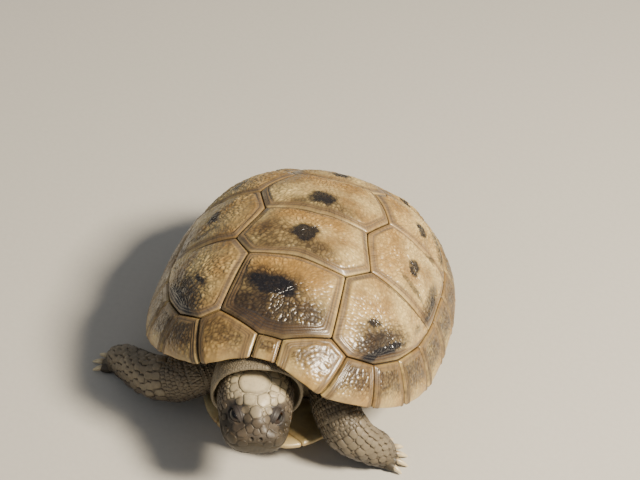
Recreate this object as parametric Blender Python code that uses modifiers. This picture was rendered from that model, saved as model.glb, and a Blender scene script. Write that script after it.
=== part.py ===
"""A spur-thighed tortoise about one year old, life size, standing with its head half drawn in.

Metres, +Z up, the head toward -Y and the animal's left toward +X. The origin is on the floor under the
middle of the whole animal; the shapes below are worked out from the middle of the shell. The carapace and
the plastron are separate horny plates with a thin seam between neighbours. The soft body inside them is
divided into trunk, neck, head, lower jaw, legs and tail.
"""

import math

import bmesh
import bpy
from mathutils import Vector
from mathutils.geometry import tessellate_polygon

MM = 0.001

SHELL_PLACE = (3.06 * MM, 2.89 * MM, 0.0)  # middle of the shell from the middle of the whole animal

# Carapace
SHELL_HALF_LENGTH = 27.0 * MM
SHELL_HALF_WIDTH = 21.85 * MM
TOP_HEIGHT = 27.5 * MM  # top of the shell above the floor
PEAK_Y = -1.3 * MM  # the highest point lies a little ahead of the middle
RIM_SIDE_HEIGHT = 8.1 * MM
RIM_FRONT_RISE = 10.9 * MM  # the rim arches up over the head
RIM_REAR_RISE = 2.7 * MM
RIM_POWER = 2.46  # 2 is an ellipse in plan, more is squarer
EGG = 0.04  # how much wider the shell is behind than in front
DOME_POWER = 1.351  # 1 is a round dome, more is flatter on top of steeper sides
NOTCH_DEPTH = 0.071  # dip in the rim over the neck, as a share of the shell's radius
NOTCH_HALF_ANGLE = 25.0  # degrees
PLATE_THICKNESS = 1.0 * MM
SEAM_DEPTH = 0.25 * MM
CROWN_HEIGHT = 0.3 * MM  # each plate swells this much over the dome at its middle
GAP = 0.3 * MM  # between any two neighbours
PLATE_STEP = 3.4 * MM  # longest facet along a plate's edge
RINGS = (1.0, 0.8, 0.4)  # share of the way from a plate's middle to its edge
RIM_TUCK = 3.2 * MM  # width of the underside that each marginal turns in
NECK_TUCK_LOSS = 0.6  # share of that width lost over the neck, where the plates are short
NECK_THINNING = 0.5  # share of the plates' thickness lost there
BRIDGE_DROP = 1.9 * MM  # that underside slopes down by this where the bridge meets it

# Plastron
BELLY_HEIGHT = 2.3 * MM
BELLY_SLOPE = 0.052  # the front of the shell is carried a little higher
LOBE_HALF_WIDTH = 11.6 * MM
LOBE_HALF_LENGTH = 23.0 * MM
LOBE_MIDDLE_Y = -0.6 * MM
LOBE_POWER = 3.2
BELLY_THICKNESS = 1.1 * MM
BRIDGE_FROM = -9.6 * MM
BRIDGE_TO = 10.2 * MM
BRIDGE_EASE = 2.4 * MM  # length over which a lobe widens into the bridge
BRIDGE_INNER = 12.0 * MM  # where the bridge starts to climb to the rim
ANAL_NOTCH = 2.4 * MM

# Trunk
TRUNK_CLEARANCE = 2.1 * MM  # below the shell's outer face
TRUNK_FRONT = -14.0 * MM
TRUNK_REAR = 14.2 * MM

# Head, in its own axes: along the head, across it, and up
HEAD_MIDDLE = Vector((0.1, -26.5, 13.2)) * MM
HEAD_TURN = 17.0  # degrees to the animal's left
HEAD_PITCH = 12.0  # degrees downward
MOUTH_LINE = -1.9 * MM
EYE_RADIUS = 1.5 * MM
EYE_PLACE = (1.95 * MM, 2.1 * MM, 1.4 * MM)
ORBIT_RADIUS = 1.9 * MM  # the hollow in front of each eye
ORBIT_PLACE = (2.65 * MM, 3.5 * MM, 2.4 * MM)

# Materials: colour (sRGB 0-1), roughness
HORN_TAN = ((0.62, 0.54, 0.38), 0.35)
HORN_PALE = ((0.72, 0.65, 0.47), 0.4)
SKIN_GREY = ((0.42, 0.38, 0.31), 0.6)
EYE_BLACK = ((0.03, 0.025, 0.02), 0.1)


def clear_scene():
    for obj in list(bpy.data.objects):
        bpy.data.objects.remove(obj)


def collection(name):
    found = bpy.data.collections.new(name)
    bpy.context.scene.collection.children.link(found)
    return found


def to_linear(channel):
    if channel <= 0.04045:
        return channel / 12.92
    return ((channel + 0.055) / 1.055) ** 2.4


def material(name, finish):
    colour, roughness = finish
    made = bpy.data.materials.new(name)
    made.use_nodes = True
    shader = made.node_tree.nodes["Principled BSDF"]
    shader.inputs["Base Color"].default_value = (*[to_linear(c) for c in colour], 1.0)
    shader.inputs["Roughness"].default_value = roughness
    return made


def stand():
    """An empty that carries every part, and brings the middle of the whole animal over the origin."""
    empty = bpy.data.objects.new("stand", None)
    empty.location = SHELL_PLACE
    TORTOISE.objects.link(empty)
    for obj in list(TORTOISE.objects) + list(CUTTERS.objects):
        if obj is not empty:
            obj.parent = empty


def new_object(name, points, faces, finish):
    mesh = bpy.data.meshes.new(name)
    mesh.from_pydata([tuple(p) for p in points], [], faces)
    mesh.validate()
    mesh.shade_smooth()
    mesh.materials.append(material(name, finish))
    obj = bpy.data.objects.new(name, mesh)
    TORTOISE.objects.link(obj)
    return obj


def outward_faces(obj):
    build = bmesh.new()
    build.from_mesh(obj.data)
    bmesh.ops.recalc_face_normals(build, faces=build.faces)
    build.to_mesh(obj.data)
    build.free()


def smooth_step(value, start, end):
    share = min(max((value - start) / (end - start), 0.0), 1.0)
    return share * share * (3.0 - 2.0 * share)


# ---------------------------------------------------------------- the shell's outer face
# A place on the flattened shell is (bearing, reach): the bearing in degrees from the head round to the
# tail, plus on the animal's left, and the reach from 0 at the top of the dome to 1 at the rim.


def spot(bearing, reach):
    angle = math.radians(bearing)
    return Vector((reach * math.sin(angle), -reach * math.cos(angle)))


def rim_factor(across, along):
    """Length of the rim's plan radius along a unit direction, and the share of front or rear in it."""
    size = (abs(across) ** RIM_POWER + abs(along) ** RIM_POWER) ** (1.0 / RIM_POWER)
    return 1.0 / size, (abs(along) / size) ** RIM_POWER


def dome_point(place):
    reach = place.length
    direction = place / reach if reach > 1e-9 else Vector((0.0, -1.0))
    factor, ends = rim_factor(direction.x, direction.y)
    quarter = min(reach, 1.0) * math.pi / 2
    out = math.sin(quarter)
    along = direction.y * factor * out
    rise = RIM_FRONT_RISE if along < 0 else RIM_REAR_RISE
    rim_height = RIM_SIDE_HEIGHT + rise * ends
    x = SHELL_HALF_WIDTH * direction.x * factor * out * (1.0 + EGG * along)
    y = PEAK_Y * (1.0 - out) + SHELL_HALF_LENGTH * along
    z = rim_height + (TOP_HEIGHT - rim_height) * math.cos(quarter) ** DOME_POWER
    return Vector((x, y, z))


def dome_normal(place):
    step = 0.01
    if place.length > 1.0 - step:
        place = place * (1.0 - step) / place.length
    along_x = dome_point(place + Vector((step, 0))) - dome_point(place - Vector((step, 0)))
    along_y = dome_point(place + Vector((0, step))) - dome_point(place - Vector((0, step)))
    return along_x.cross(along_y).normalized()


def over_neck(bearing):
    """1 above the middle of the neck, easing to 0 at the ends of the notch."""
    share = min(abs(bearing) / NOTCH_HALF_ANGLE, 1.0)
    return math.cos(share * math.pi / 2) ** 2


def rim_reach(bearing):
    """Reach of the shell's edge, which dips over the neck."""
    return math.asin(1.0 - NOTCH_DEPTH * over_neck(bearing)) * 2 / math.pi


# Corners where three plates meet, on the animal's left
CORNERS = {
    "nuchal": (5.5, 0.612),
    "v1_c1": (27.6, 0.554),
    "v1_v2": (44.7, 0.285),
    "v2_c1": (67.0, 0.316),
    "v2_v3": (100.0, 0.228),
    "v3_c2": (120.1, 0.323),
    "v3_v4": (151.7, 0.368),
    "v4_c3": (151.1, 0.468),
    "v4_v5": (162.8, 0.548),
    "v5_c4": (149.6, 0.690),
    "m1_m2": (33.5, 0.635),
    "m2_m3": (44.7, 0.674),
    "m3_m4": (57.0, 0.682),
    "m4_m5": (71.0, 0.692),
    "c1_c2": (81.3, 0.697),
    "m5_m6": (87.0, 0.700),
    "m6_m7": (101.5, 0.702),
    "c2_c3": (108.5, 0.703),
    "m7_m8": (115.5, 0.703),
    "m8_m9": (128.6, 0.702),
    "c3_c4": (135.8, 0.701),
    "m9_m10": (142.0, 0.698),
    "m10_m11": (156.0, 0.700),
    "m11_tail": (168.5, 0.722),
}
VERTEBRALS = (
    ("nuchal", "v1_c1", "v1_v2"),
    ("v1_v2", "v2_c1", "v2_v3"),
    ("v2_v3", "v3_c2", "v3_v4"),
    ("v3_v4", "v4_c3", "v4_v5"),
    ("v4_v5", "v5_c4", "m10_m11", "m11_tail"),
)
COSTALS = (
    ("v1_c1", "m1_m2", "m2_m3", "m3_m4", "m4_m5", "c1_c2", "v2_c1", "v1_v2"),
    ("c1_c2", "m5_m6", "m6_m7", "c2_c3", "v3_c2", "v2_v3", "v2_c1"),
    ("c2_c3", "m7_m8", "m8_m9", "c3_c4", "v4_c3", "v3_v4", "v3_c2"),
    ("c3_c4", "m9_m10", "v5_c4", "v4_v5", "v4_c3"),
)
# Upper corners of each marginal from front to back, and the bearings of the seams on the rim
MARGINAL_TOPS = (
    ("nuchal", "v1_c1", "m1_m2"),
    ("m1_m2", "m2_m3"),
    ("m2_m3", "m3_m4"),
    ("m3_m4", "m4_m5"),
    ("m4_m5", "c1_c2", "m5_m6"),
    ("m5_m6", "m6_m7"),
    ("m6_m7", "c2_c3", "m7_m8"),
    ("m7_m8", "m8_m9"),
    ("m8_m9", "c3_c4", "m9_m10"),
    ("m9_m10", "v5_c4", "m10_m11"),
    ("m10_m11", "m11_tail"),
)
RIM_SEAMS = (4.9, 22.4, 41.5, 56.4, 71.6, 87.0, 101.8, 115.5, 128.6, 142.3, 156.6, 169.7)


def corner(name, side=1):
    bearing, reach = CORNERS[name]
    return spot(bearing * side, reach)


def walk(corners, step):
    """Points along a closed outline of shell places, no further apart than step on the dome."""
    places = []
    for start, end in zip(corners, corners[1:] + corners[:1]):
        length = (dome_point(end) - dome_point(start)).length
        count = max(1, math.ceil(length / step))
        places += [start.lerp(end, i / count) for i in range(count)]
    return places


def drawn_in(points, normals, distance):
    """A closed outline moved inward, in the surface, by distance from each of its sides."""
    moved = []
    for i, point in enumerate(points):
        before = (point - points[i - 1]).normalized()
        after = (points[(i + 1) % len(points)] - point).normalized()
        first = normals[i].cross(before)
        second = normals[i].cross(after)
        mitre = (first + second) / (1.0 + first.dot(second))
        moved.append(point + mitre * distance)
    return moved


def solidify(obj, thickness):
    modifier = obj.modifiers.new("thickness", "SOLIDIFY")
    modifier.thickness = thickness
    modifier.offset = -1.0


def dome_plate(name, corners):
    """A horny plate: its outline inset from the seam, its middle swelling over the dome."""
    outline = walk(corners, PLATE_STEP)
    middle = sum(outline, Vector((0.0, 0.0))) / len(outline)
    points = []
    for share in RINGS:
        places = [middle.lerp(place, share) for place in outline]
        normals = [dome_normal(place) for place in places]
        swell = CROWN_HEIGHT * (1.0 - share)
        sunk = SEAM_DEPTH if share == 1.0 else 0.0
        ring = [dome_point(p) + n * (swell - sunk) for p, n in zip(places, normals)]
        if share == 1.0:
            ring = drawn_in(ring, normals, GAP / 2)
        points += ring
    points.append(dome_point(middle) + dome_normal(middle) * CROWN_HEIGHT)
    count = len(outline)
    faces = []
    for ring in range(len(RINGS) - 1):
        for i in range(count):
            a = ring * count + i
            b = ring * count + (i + 1) % count
            faces.append((a, b, b + count, a + count))
    last = (len(RINGS) - 1) * count
    for i in range(count):
        faces.append((last + i, last + (i + 1) % count, len(points) - 1))
    obj = new_object(name, points, faces, HORN_TAN)
    solidify(obj, PLATE_THICKNESS)
    return obj


def make_vertebrals():
    for number, names in enumerate(VERTEBRALS, 1):
        left = [corner(name) for name in names]
        right = [corner(name, -1) for name in reversed(names)]
        dome_plate(f"vertebral_{number}", left + right)


def make_costals():
    for number, names in enumerate(COSTALS, 1):
        dome_plate(f"costal_left_{number}", [corner(name) for name in names])
        dome_plate(f"costal_right_{number}", [corner(name, -1) for name in reversed(names)])


def along_line(places, share):
    """A place at a share of the way along a broken line."""
    lengths = [(b - a).length for a, b in zip(places, places[1:])]
    wanted = share * sum(lengths)
    for start, end, length in zip(places, places[1:], lengths):
        if wanted <= length or end is places[-1]:
            return start.lerp(end, min(wanted / length, 1.0))
        wanted -= length
    return places[-1]


def rim_inward(bearing):
    ahead = dome_point(spot(bearing + 1.0, 1.0))
    behind = dome_point(spot(bearing - 1.0, 1.0))
    run = ahead - behind
    run.z = 0.0
    return Vector((0.0, 0.0, 1.0)).cross(run.normalized())


def under_rim(bearing, share):
    """A point of the marginals' underside, from the edge (0) to its inner margin (1)."""
    edge = dome_point(spot(bearing, rim_reach(bearing)))
    y = edge.y
    bridge = smooth_step(y, BRIDGE_FROM - BRIDGE_EASE, BRIDGE_FROM + BRIDGE_EASE)
    bridge *= 1.0 - smooth_step(y, BRIDGE_TO - BRIDGE_EASE, BRIDGE_TO + BRIDGE_EASE)
    drop = BRIDGE_DROP * bridge * share**0.8
    tuck = RIM_TUCK * (1.0 - NECK_TUCK_LOSS * over_neck(bearing))
    return edge + rim_inward(bearing) * tuck * share - Vector((0.0, 0.0, drop))


def marginal_plate(name, tops, first, last, columns=3):
    """A plate of the rim: from its upper seam over the edge and in along the underside, in closed sections
    that stand on lines across the rim, so that the plate and its neighbour part along one cut."""
    down = (0.0, 0.45, 0.8, 1.0)
    under = (0.45, 1.0)
    lines = []
    for column in range(columns + 1):
        share = column / columns
        bearing = first + (last - first) * share
        top = along_line(tops, share)
        edge = spot(bearing, rim_reach(bearing))
        line = []
        for part in down:
            place = top.lerp(edge, part)
            sunk = SEAM_DEPTH if part == 0.0 or column in (0, columns) else 0.0
            line.append(dome_point(place) - dome_normal(place) * sunk)
        line += [under_rim(bearing, part) for part in under]
        lines.append(line)
    count = len(lines[0])
    for column, inner in ((0, 1), (columns, columns - 1)):
        run = (lines[inner][2] - lines[column][2]).normalized()
        lines[column] = [point + run * GAP / 2 for point in lines[column]]
    sections = []
    for column, line in enumerate(lines):
        bearing = first + (last - first) * column / columns
        run = rim_inward(bearing).cross(Vector((0.0, 0.0, 1.0)))
        thickness = PLATE_THICKNESS * (1.0 - NECK_THINNING * over_neck(bearing))
        inner = []
        for i in (0, 1, count - 1):
            along = (line[min(i + 1, count - 1)] - line[max(i - 1, 0)]).normalized()
            inner.append(line[i] + run.cross(along).normalized() * thickness)
        line[0] = line[0].lerp(line[1], GAP / 2 / (line[1] - line[0]).length)
        inner[0] = inner[0].lerp(inner[1], GAP / 2 / (inner[1] - inner[0]).length)
        sections.append(line + inner[::-1])
    points = [point for section in sections for point in section]
    ring = count + 3
    faces = []
    for column in (0, columns):
        cap = tessellate_polygon([sections[column]])
        faces += [tuple(column * ring + i for i in face) for face in cap]
    for column in range(columns):
        for i in range(ring):
            a = column * ring + i
            b = column * ring + (i + 1) % ring
            faces.append((a, a + ring, b + ring, b))
    obj = new_object(name, points, faces, HORN_PALE)
    outward_faces(obj)
    return obj


def make_marginals():
    for number, names in enumerate(MARGINAL_TOPS, 1):
        first, last = RIM_SEAMS[number - 1 : number + 1]
        marginal_plate(f"marginal_left_{number}", [corner(n) for n in names], first, last)
        marginal_plate(f"marginal_right_{number}", [corner(n, -1) for n in names], -first, -last)
    nuchal = [corner("nuchal", -1), corner("nuchal")]
    marginal_plate("nuchal", nuchal, -RIM_SEAMS[0], RIM_SEAMS[0], columns=2)
    tail = [corner("m11_tail"), corner("m11_tail", -1)]
    marginal_plate("supracaudal", tail, RIM_SEAMS[-1], 360.0 - RIM_SEAMS[-1], columns=4)


# ---------------------------------------------------------------- plastron


def lobe_half_width(y):
    share = min(abs(y - LOBE_MIDDLE_Y) / LOBE_HALF_LENGTH, 0.999)
    return LOBE_HALF_WIDTH * (1.0 - share**LOBE_POWER) ** (1.0 / 2.2)


def bridge_share(y):
    rise = smooth_step(y, BRIDGE_FROM - BRIDGE_EASE / 2, BRIDGE_FROM + BRIDGE_EASE / 2)
    fall = smooth_step(y, BRIDGE_TO - BRIDGE_EASE / 2, BRIDGE_TO + BRIDGE_EASE / 2)
    return rise * (1.0 - fall)


def plastron_half_width(y):
    rim_x = SHELL_HALF_WIDTH * (1.0 - abs(y / SHELL_HALF_LENGTH) ** RIM_POWER) ** (1.0 / RIM_POWER)
    bridge = rim_x - RIM_TUCK - GAP
    lobe = lobe_half_width(y)
    return lobe + (bridge - lobe) * bridge_share(y)


def belly_height(x, y):
    """Height of the plastron's lower face, which climbs across the bridge to the rim."""
    flat = BELLY_HEIGHT - BELLY_SLOPE * y
    climb = smooth_step(abs(x), BRIDGE_INNER, SHELL_HALF_WIDTH - RIM_TUCK + 2.5 * MM)
    return flat + (RIM_SIDE_HEIGHT - BRIDGE_DROP * 0.4 - flat) * climb


# Seams across the plastron: height along the midline, and how far each runs back at its outer end
PLASTRON_SEAMS = (
    ("gular", -23.2 * MM, 0.4 * MM),
    ("humeral", -18.6 * MM, -2.9 * MM),
    ("pectoral", -11.6 * MM, 0.6 * MM),
    ("abdominal", -8.2 * MM, 2.4 * MM),
    ("femoral", 8.4 * MM, 2.8 * MM),
    ("anal", 15.4 * MM, 2.4 * MM),
    ("end", 22.0 * MM - ANAL_NOTCH, ANAL_NOTCH),
)


def plastron_plate(name, front, rear, side):
    columns = 3
    rows = 4 if name.startswith(("pectoral", "abdominal", "femoral")) else 2
    grid = []
    for row in range(rows + 1):
        share = row / rows
        line = []
        for column in range(columns + 1):
            across = column / columns
            y_front = front[1] + front[2] * across + GAP / 2
            y_rear = rear[1] + rear[2] * across - GAP / 2
            y = y_front + (y_rear - y_front) * share
            half_width = plastron_half_width(y) - GAP / 2
            x = GAP / 2 + (half_width - GAP / 2) * across
            line.append(Vector((x * side, y, belly_height(x, y))))
        grid.append(line)
    points = [point for line in grid for point in line]
    faces = []
    for row in range(rows):
        for column in range(columns):
            a = row * (columns + 1) + column
            faces.append((a, a + 1, a + columns + 2, a + columns + 1))
    obj = new_object(name, points, faces, HORN_PALE)
    if obj.data.polygons[0].normal.z > 0:
        obj.data.flip_normals()
    solidify(obj, BELLY_THICKNESS)
    return obj


def make_plastron():
    for front, rear in zip(PLASTRON_SEAMS, PLASTRON_SEAMS[1:]):
        plastron_plate(f"{front[0]}_left", front, rear, 1)
        plastron_plate(f"{front[0]}_right", front, rear, -1)


# ---------------------------------------------------------------- lofted flesh


def loft(name, rings, finish=SKIN_GREY):
    """A closed body through rings of equal point counts, with a point at each end's middle."""
    count = len(rings[0])
    points = [point for ring in rings for point in ring]
    faces = []
    for ring in range(len(rings) - 1):
        for i in range(count):
            a = ring * count + i
            b = ring * count + (i + 1) % count
            faces.append((a, b, b + count, a + count))
    for ring, order in ((0, -1), (len(rings) - 1, 1)):
        middle = sum(rings[ring], Vector()) / count
        points.append(middle)
        for i in range(count):
            a = ring * count + i
            b = ring * count + (i + 1) % count
            pair = (a, b) if order > 0 else (b, a)
            faces.append((*pair, len(points) - 1))
    obj = new_object(name, points, faces, finish)
    outward_faces(obj)
    return obj


def oval(middle, across, up, half_width, above, below, count=14, power=2.3):
    """A ring round a middle point, with its own height above and below."""
    ring = []
    for i in range(count):
        angle = 2 * math.pi * i / count
        c = math.cos(angle)
        s = math.sin(angle)
        x = half_width * math.copysign(abs(c) ** (2 / power), c)
        height = above if s > 0 else below
        z = height * math.copysign(abs(s) ** (2 / power), s)
        ring.append(middle + across * x + up * z)
    return ring


def axes_along(direction):
    across = direction.cross(Vector((0.0, 0.0, 1.0))).normalized()
    return across, across.cross(direction).normalized()


def join_into(target, pieces, operation="UNION"):
    """Boolean of pieces into the target, each of which cuts clear into it."""
    for piece in pieces:
        CUTTERS.objects.link(piece)
        TORTOISE.objects.unlink(piece)
        piece.hide_render = True
        piece.display_type = "WIRE"
        modifier = target.modifiers.new("join", "BOOLEAN")
        modifier.operation = operation
        modifier.object = piece
        modifier.solver = "EXACT"


# Leg stations: middle (x outward on the animal's left, y, z), half thickness across and up, all in mm
FORELEG_LEFT = (
    ((7.8, -14.3, 9.2), 3.7, 3.9),
    ((9.6, -17.0, 8.6), 3.5, 3.7),
    ((11.2, -18.8, 7.3), 3.2, 3.4),
    ((13.2, -18.8, 5.5), 2.9, 3.05),
    ((15.1, -17.7, 3.7), 2.6, 2.75),
    ((16.5, -16.6, 2.3), 2.5, 2.4),
    ((17.7, -15.8, 1.4), 2.0, 1.65),
)
FORELEG_RIGHT = (
    ((8.6, -14.3, 8.9), 3.6, 3.8),
    ((10.9, -17.2, 8.3), 3.4, 3.6),
    ((14.0, -18.4, 6.9), 3.2, 3.4),
    ((17.6, -17.0, 5.2), 3.0, 3.1),
    ((20.9, -14.4, 3.6), 2.7, 2.8),
    ((23.1, -12.4, 2.3), 2.5, 2.4),
    ((24.6, -11.2, 1.4), 2.0, 1.7),
)
HINDLEG = (
    ((8.2, 14.5, 8.6), 3.6, 3.7),
    ((9.6, 17.0, 7.9), 3.4, 3.5),
    ((11.6, 18.6, 6.2), 3.2, 3.3),
    ((13.0, 19.0, 4.3), 2.8, 3.0),
    ((13.7, 18.7, 2.4), 2.8, 2.8),
    ((13.9, 18.3, 0.6), 2.7, 2.7),
)


def leg_rings(stations, side, count=12):
    middles = [Vector((p[0] * side, p[1], p[2])) * MM for p, _, _ in stations]
    rings = []
    for i, (_, wide, high) in enumerate(stations):
        before = middles[max(i - 1, 0)]
        after = middles[min(i + 1, len(middles) - 1)]
        direction = (after - before).normalized()
        if i == 0:
            direction = Vector((0.0, math.copysign(1.0, middles[0].y), 0.0))
        across, up = axes_along(direction)
        rings.append(oval(middles[i], across, up, wide * MM, high * MM, high * MM, count))
    return rings


def on_floor(obj):
    """The sole is flat where the foot stands."""
    for vertex in obj.data.vertices:
        vertex.co.z = max(vertex.co.z, 0.0)


CLAW_LENGTHS = 4.4  # a claw's length in its own half widths
CLAW_TIP_HEIGHT = 0.25 * MM
CLAW_ROOT_CLEARANCE = 0.23 * MM


def claws(prefix, wrist, toward, reach, spread, count, size):
    """A fan of short blunt claws: each starts inside the foot and lies just above the floor."""
    made = []
    heading = math.atan2(toward.y, toward.x)
    for i in range(count):
        share = i / (count - 1) - 0.5
        angle = heading + math.radians(spread) * share
        way = Vector((math.cos(angle), math.sin(angle), 0.0))
        tip = wrist + way * reach
        tip.z = CLAW_TIP_HEIGHT
        root = wrist + way * (reach - size * CLAW_LENGTHS)
        root.z = size + CLAW_ROOT_CLEARANCE
        across, up = axes_along((tip - root).normalized())
        rings = [
            oval(root, across, up, size * 0.9, size, size * 0.9, 6, 2.0),
            oval(root.lerp(tip, 0.55), across, up, size * 0.7, size * 0.75, size * 0.6, 6, 2.0),
            oval(tip, across, up, size * 0.22, size * 0.2, size * 0.2, 6, 2.0),
        ]
        claw = loft(f"{prefix}_claw_{i + 1}", rings)
        on_floor(claw)
        made.append(claw)
    return made


def make_legs():
    plans = (
        ("foreleg_left", FORELEG_LEFT, 1, (15.1, -16.9), (0.92, 0.38), 6.0, 75.0, 5, 0.62),
        ("foreleg_right", FORELEG_RIGHT, -1, (-22.4, -12.6), (-0.86, 0.34), 5.6, 80.0, 5, 0.62),
        ("hindleg_left", HINDLEG, 1, (13.9, 18.3), (0.62, -0.78), 4.0, 84.0, 4, 0.6),
        ("hindleg_right", HINDLEG, -1, (-13.9, 18.3), (-0.62, -0.78), 4.0, 84.0, 4, 0.6),
    )
    for name, stations, side, wrist, toward, reach, spread, count, size in plans:
        leg = loft(name, leg_rings(stations, side))
        on_floor(leg)
        start = Vector((wrist[0], wrist[1], 0.0)) * MM
        way = Vector((toward[0], toward[1], 0.0))
        join_into(leg, claws(name, start, way, reach * MM, spread, count, size * MM))


# ---------------------------------------------------------------- head, neck, trunk and tail


def head_axes():
    turn = math.radians(HEAD_TURN)
    pitch = math.radians(HEAD_PITCH)
    forward = Vector(
        (math.sin(turn) * math.cos(pitch), -math.cos(turn) * math.cos(pitch), -math.sin(pitch))
    )
    left = Vector((math.cos(turn), math.sin(turn), 0.0))
    return forward, left, left.cross(forward) * -1.0


def on_head(along, across, up):
    forward, left, top = head_axes()
    return HEAD_MIDDLE + forward * along + left * across + top * up


# Head sections from the nape to the beak: place along, half width, height above and below the axis, mm
HEAD_SECTIONS = (
    (-6.0, 3.8, 2.7, 2.8),
    (-4.6, 4.9, 3.7, 3.7),
    (-2.9, 5.45, 4.15, 4.0),
    (-2.4, 5.5, 4.2, 1.9),
    (-0.6, 5.35, 4.2, 1.9),
    (1.2, 5.05, 4.05, 1.9),
    (2.8, 4.85, 3.6, 1.95),
    (4.2, 4.4, 2.85, 2.0),
    (5.2, 3.7, 2.05, 2.1),
    (5.9, 2.4, 1.15, 1.8),
)
JAW_SECTIONS = (
    (-2.1, 4.8, 4.1),
    (-0.4, 4.7, 4.1),
    (1.4, 4.55, 4.0),
    (3.0, 4.3, 3.75),
    (4.3, 3.65, 3.35),
    (5.1, 2.6, 2.8),
)
JAW_AXIS_DROP = 0.4 * MM  # from the jaw's roof down to the axis of its sections
JAW_ROOF_RISE = 0.2 * MM


def make_head():
    _, left, top = head_axes()
    rings = []
    for along, half_width, above, below in HEAD_SECTIONS:
        middle = on_head(along * MM, 0.0, 0.0)
        rings.append(oval(middle, left, top, half_width * MM, above * MM, below * MM, 16, 2.4))
    head = loft("head", rings)
    for side, name in ((1, "eye_left"), (-1, "eye_right")):
        along, across, up = EYE_PLACE
        place = on_head(along, across * side, up)
        eye = ball(name, place, EYE_RADIUS)
        eye.data.materials.clear()
        eye.data.materials.append(material(name, EYE_BLACK))
        along, across, up = ORBIT_PLACE
        cutters = (
            ball(f"{name}_socket", place, EYE_RADIUS + GAP),
            ball(f"{name}_orbit", on_head(along, across * side, up), ORBIT_RADIUS),
        )
        join_into(head, cutters, "DIFFERENCE")


def ball(name, place, radius):
    build = bmesh.new()
    bmesh.ops.create_icosphere(build, subdivisions=2, radius=radius)
    bmesh.ops.translate(build, vec=place, verts=build.verts)
    mesh = bpy.data.meshes.new(name)
    build.to_mesh(mesh)
    build.free()
    mesh.shade_smooth()
    mesh.materials.append(material(name, SKIN_GREY))
    obj = bpy.data.objects.new(name, mesh)
    TORTOISE.objects.link(obj)
    return obj


def make_lower_jaw():
    _, left, top = head_axes()
    roof = MOUTH_LINE - GAP
    rings = []
    for along, half_width, below in JAW_SECTIONS:
        middle = on_head(along * MM, 0.0, roof - JAW_AXIS_DROP)
        depth = below * MM + roof - JAW_AXIS_DROP
        rings.append(oval(middle, left, top, half_width * MM, JAW_ROOF_RISE, depth, 12, 2.4))
    loft("lower_jaw", rings)


NECK_ROOT_HEIGHT = 11.2 * MM
NECK_RISE = 1.6 * MM
HOOD_LIP = 2.1 * MM  # how far the hood's edge lies behind the head's middle
HOOD_SWAY = 0.2 * MM  # how far the hood's edge lies to the left of the head
HOOD_ROOT = -5.0  # where that sway starts, and how soon it is full
HOOD_EASE = 2.4


def make_neck():
    """The neck and the hood of loose skin rolled round the back of the head."""
    forward, left, top = head_axes()
    lip = on_head(-HOOD_LIP, 0.0, 0.0)
    rings = []
    for y, wide, high in ((TRUNK_FRONT - GAP, 4.0, 4.2), (-17.0 * MM, 4.3, 4.6)):
        share = (y - TRUNK_FRONT) / (-20.0 * MM - TRUNK_FRONT)
        middle = Vector((0.0, y, NECK_ROOT_HEIGHT + NECK_RISE * share))
        across = Vector((1.0, 0.0, 0.0))
        rings.append(
            oval(middle, across, Vector((0.0, 0.0, 1.0)), wide * MM, high * MM, high * MM, 16, 2.2)
        )
    hood = (
        (-5.0, 5.2, 5.6),
        (-2.6, 6.3, 6.6),
        (-0.6, 6.55, 6.85),
        (0.1, 6.1, 6.4),
        (-0.4, 5.75, 6.0),
        (-1.6, 5.8, 5.2),
        (-3.4, 5.3, 4.6),
        (-5.0, 3.9, 3.6),
    )
    for along, wide, high in hood:
        sway = HOOD_SWAY * min((along - HOOD_ROOT) / HOOD_EASE, 1.0)
        middle = lip + forward * along * MM + left * sway
        rings.append(oval(middle, left, top, wide * MM, high * MM, high * MM * 0.93, 16, 2.2))
    loft("neck", rings)


def make_trunk():
    """The body inside the shell, cut flat where the neck, legs and tail leave it."""
    count = 20
    bearings = [360.0 * i / count for i in range(count)]
    rings = []
    for reach in (0.2, 0.4, 0.56, 0.68):
        places = [spot(bearing, reach) for bearing in bearings]
        rings.append([dome_point(p) - dome_normal(p) * TRUNK_CLEARANCE for p in places])
    for height, share in ((9.6 * MM, 0.8), (6.9 * MM, 0.72)):
        ring = []
        for bearing in bearings:
            edge = dome_point(spot(bearing, 1.0))
            ring.append(Vector((edge.x * share, edge.y * share, height)))
        rings.append(ring)
    floor = []
    for bearing in bearings:
        edge = dome_point(spot(bearing, 1.0)) * 0.5
        lowest = belly_height(edge.x, edge.y) + BELLY_THICKNESS + GAP * 1.5
        floor.append(Vector((edge.x, edge.y, lowest)))
    rings.append(floor)
    trunk = loft("trunk", rings)
    build = bmesh.new()
    build.from_mesh(trunk.data)
    for y, outward in ((TRUNK_FRONT, -1.0), (TRUNK_REAR, 1.0)):
        geometry = build.verts[:] + build.edges[:] + build.faces[:]
        bmesh.ops.bisect_plane(
            build,
            geom=geometry,
            dist=1e-7,
            plane_co=(0.0, y, 0.0),
            plane_no=(0.0, outward, 0.0),
            clear_outer=True,
        )
        bmesh.ops.holes_fill(build, edges=build.edges, sides=0)
    bmesh.ops.recalc_face_normals(build, faces=build.faces)
    build.to_mesh(trunk.data)
    build.free()


def make_tail():
    stations = (
        ((0.0, 14.5, 5.6), 2.5, 2.4),
        ((0.2, 17.5, 5.2), 2.1, 2.0),
        ((0.7, 20.5, 4.5), 1.5, 1.5),
        ((1.4, 23.0, 3.9), 0.95, 0.95),
        ((2.2, 24.9, 3.5), 0.35, 0.35),
    )
    loft("tail", leg_rings(stations, 1, 10))


clear_scene()
TORTOISE = collection("tortoise")
CUTTERS = collection("cutters")
make_vertebrals()
make_costals()
make_marginals()
make_plastron()
make_trunk()
make_neck()
make_head()
make_lower_jaw()
make_legs()
make_tail()
stand()
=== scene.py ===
import math

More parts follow.
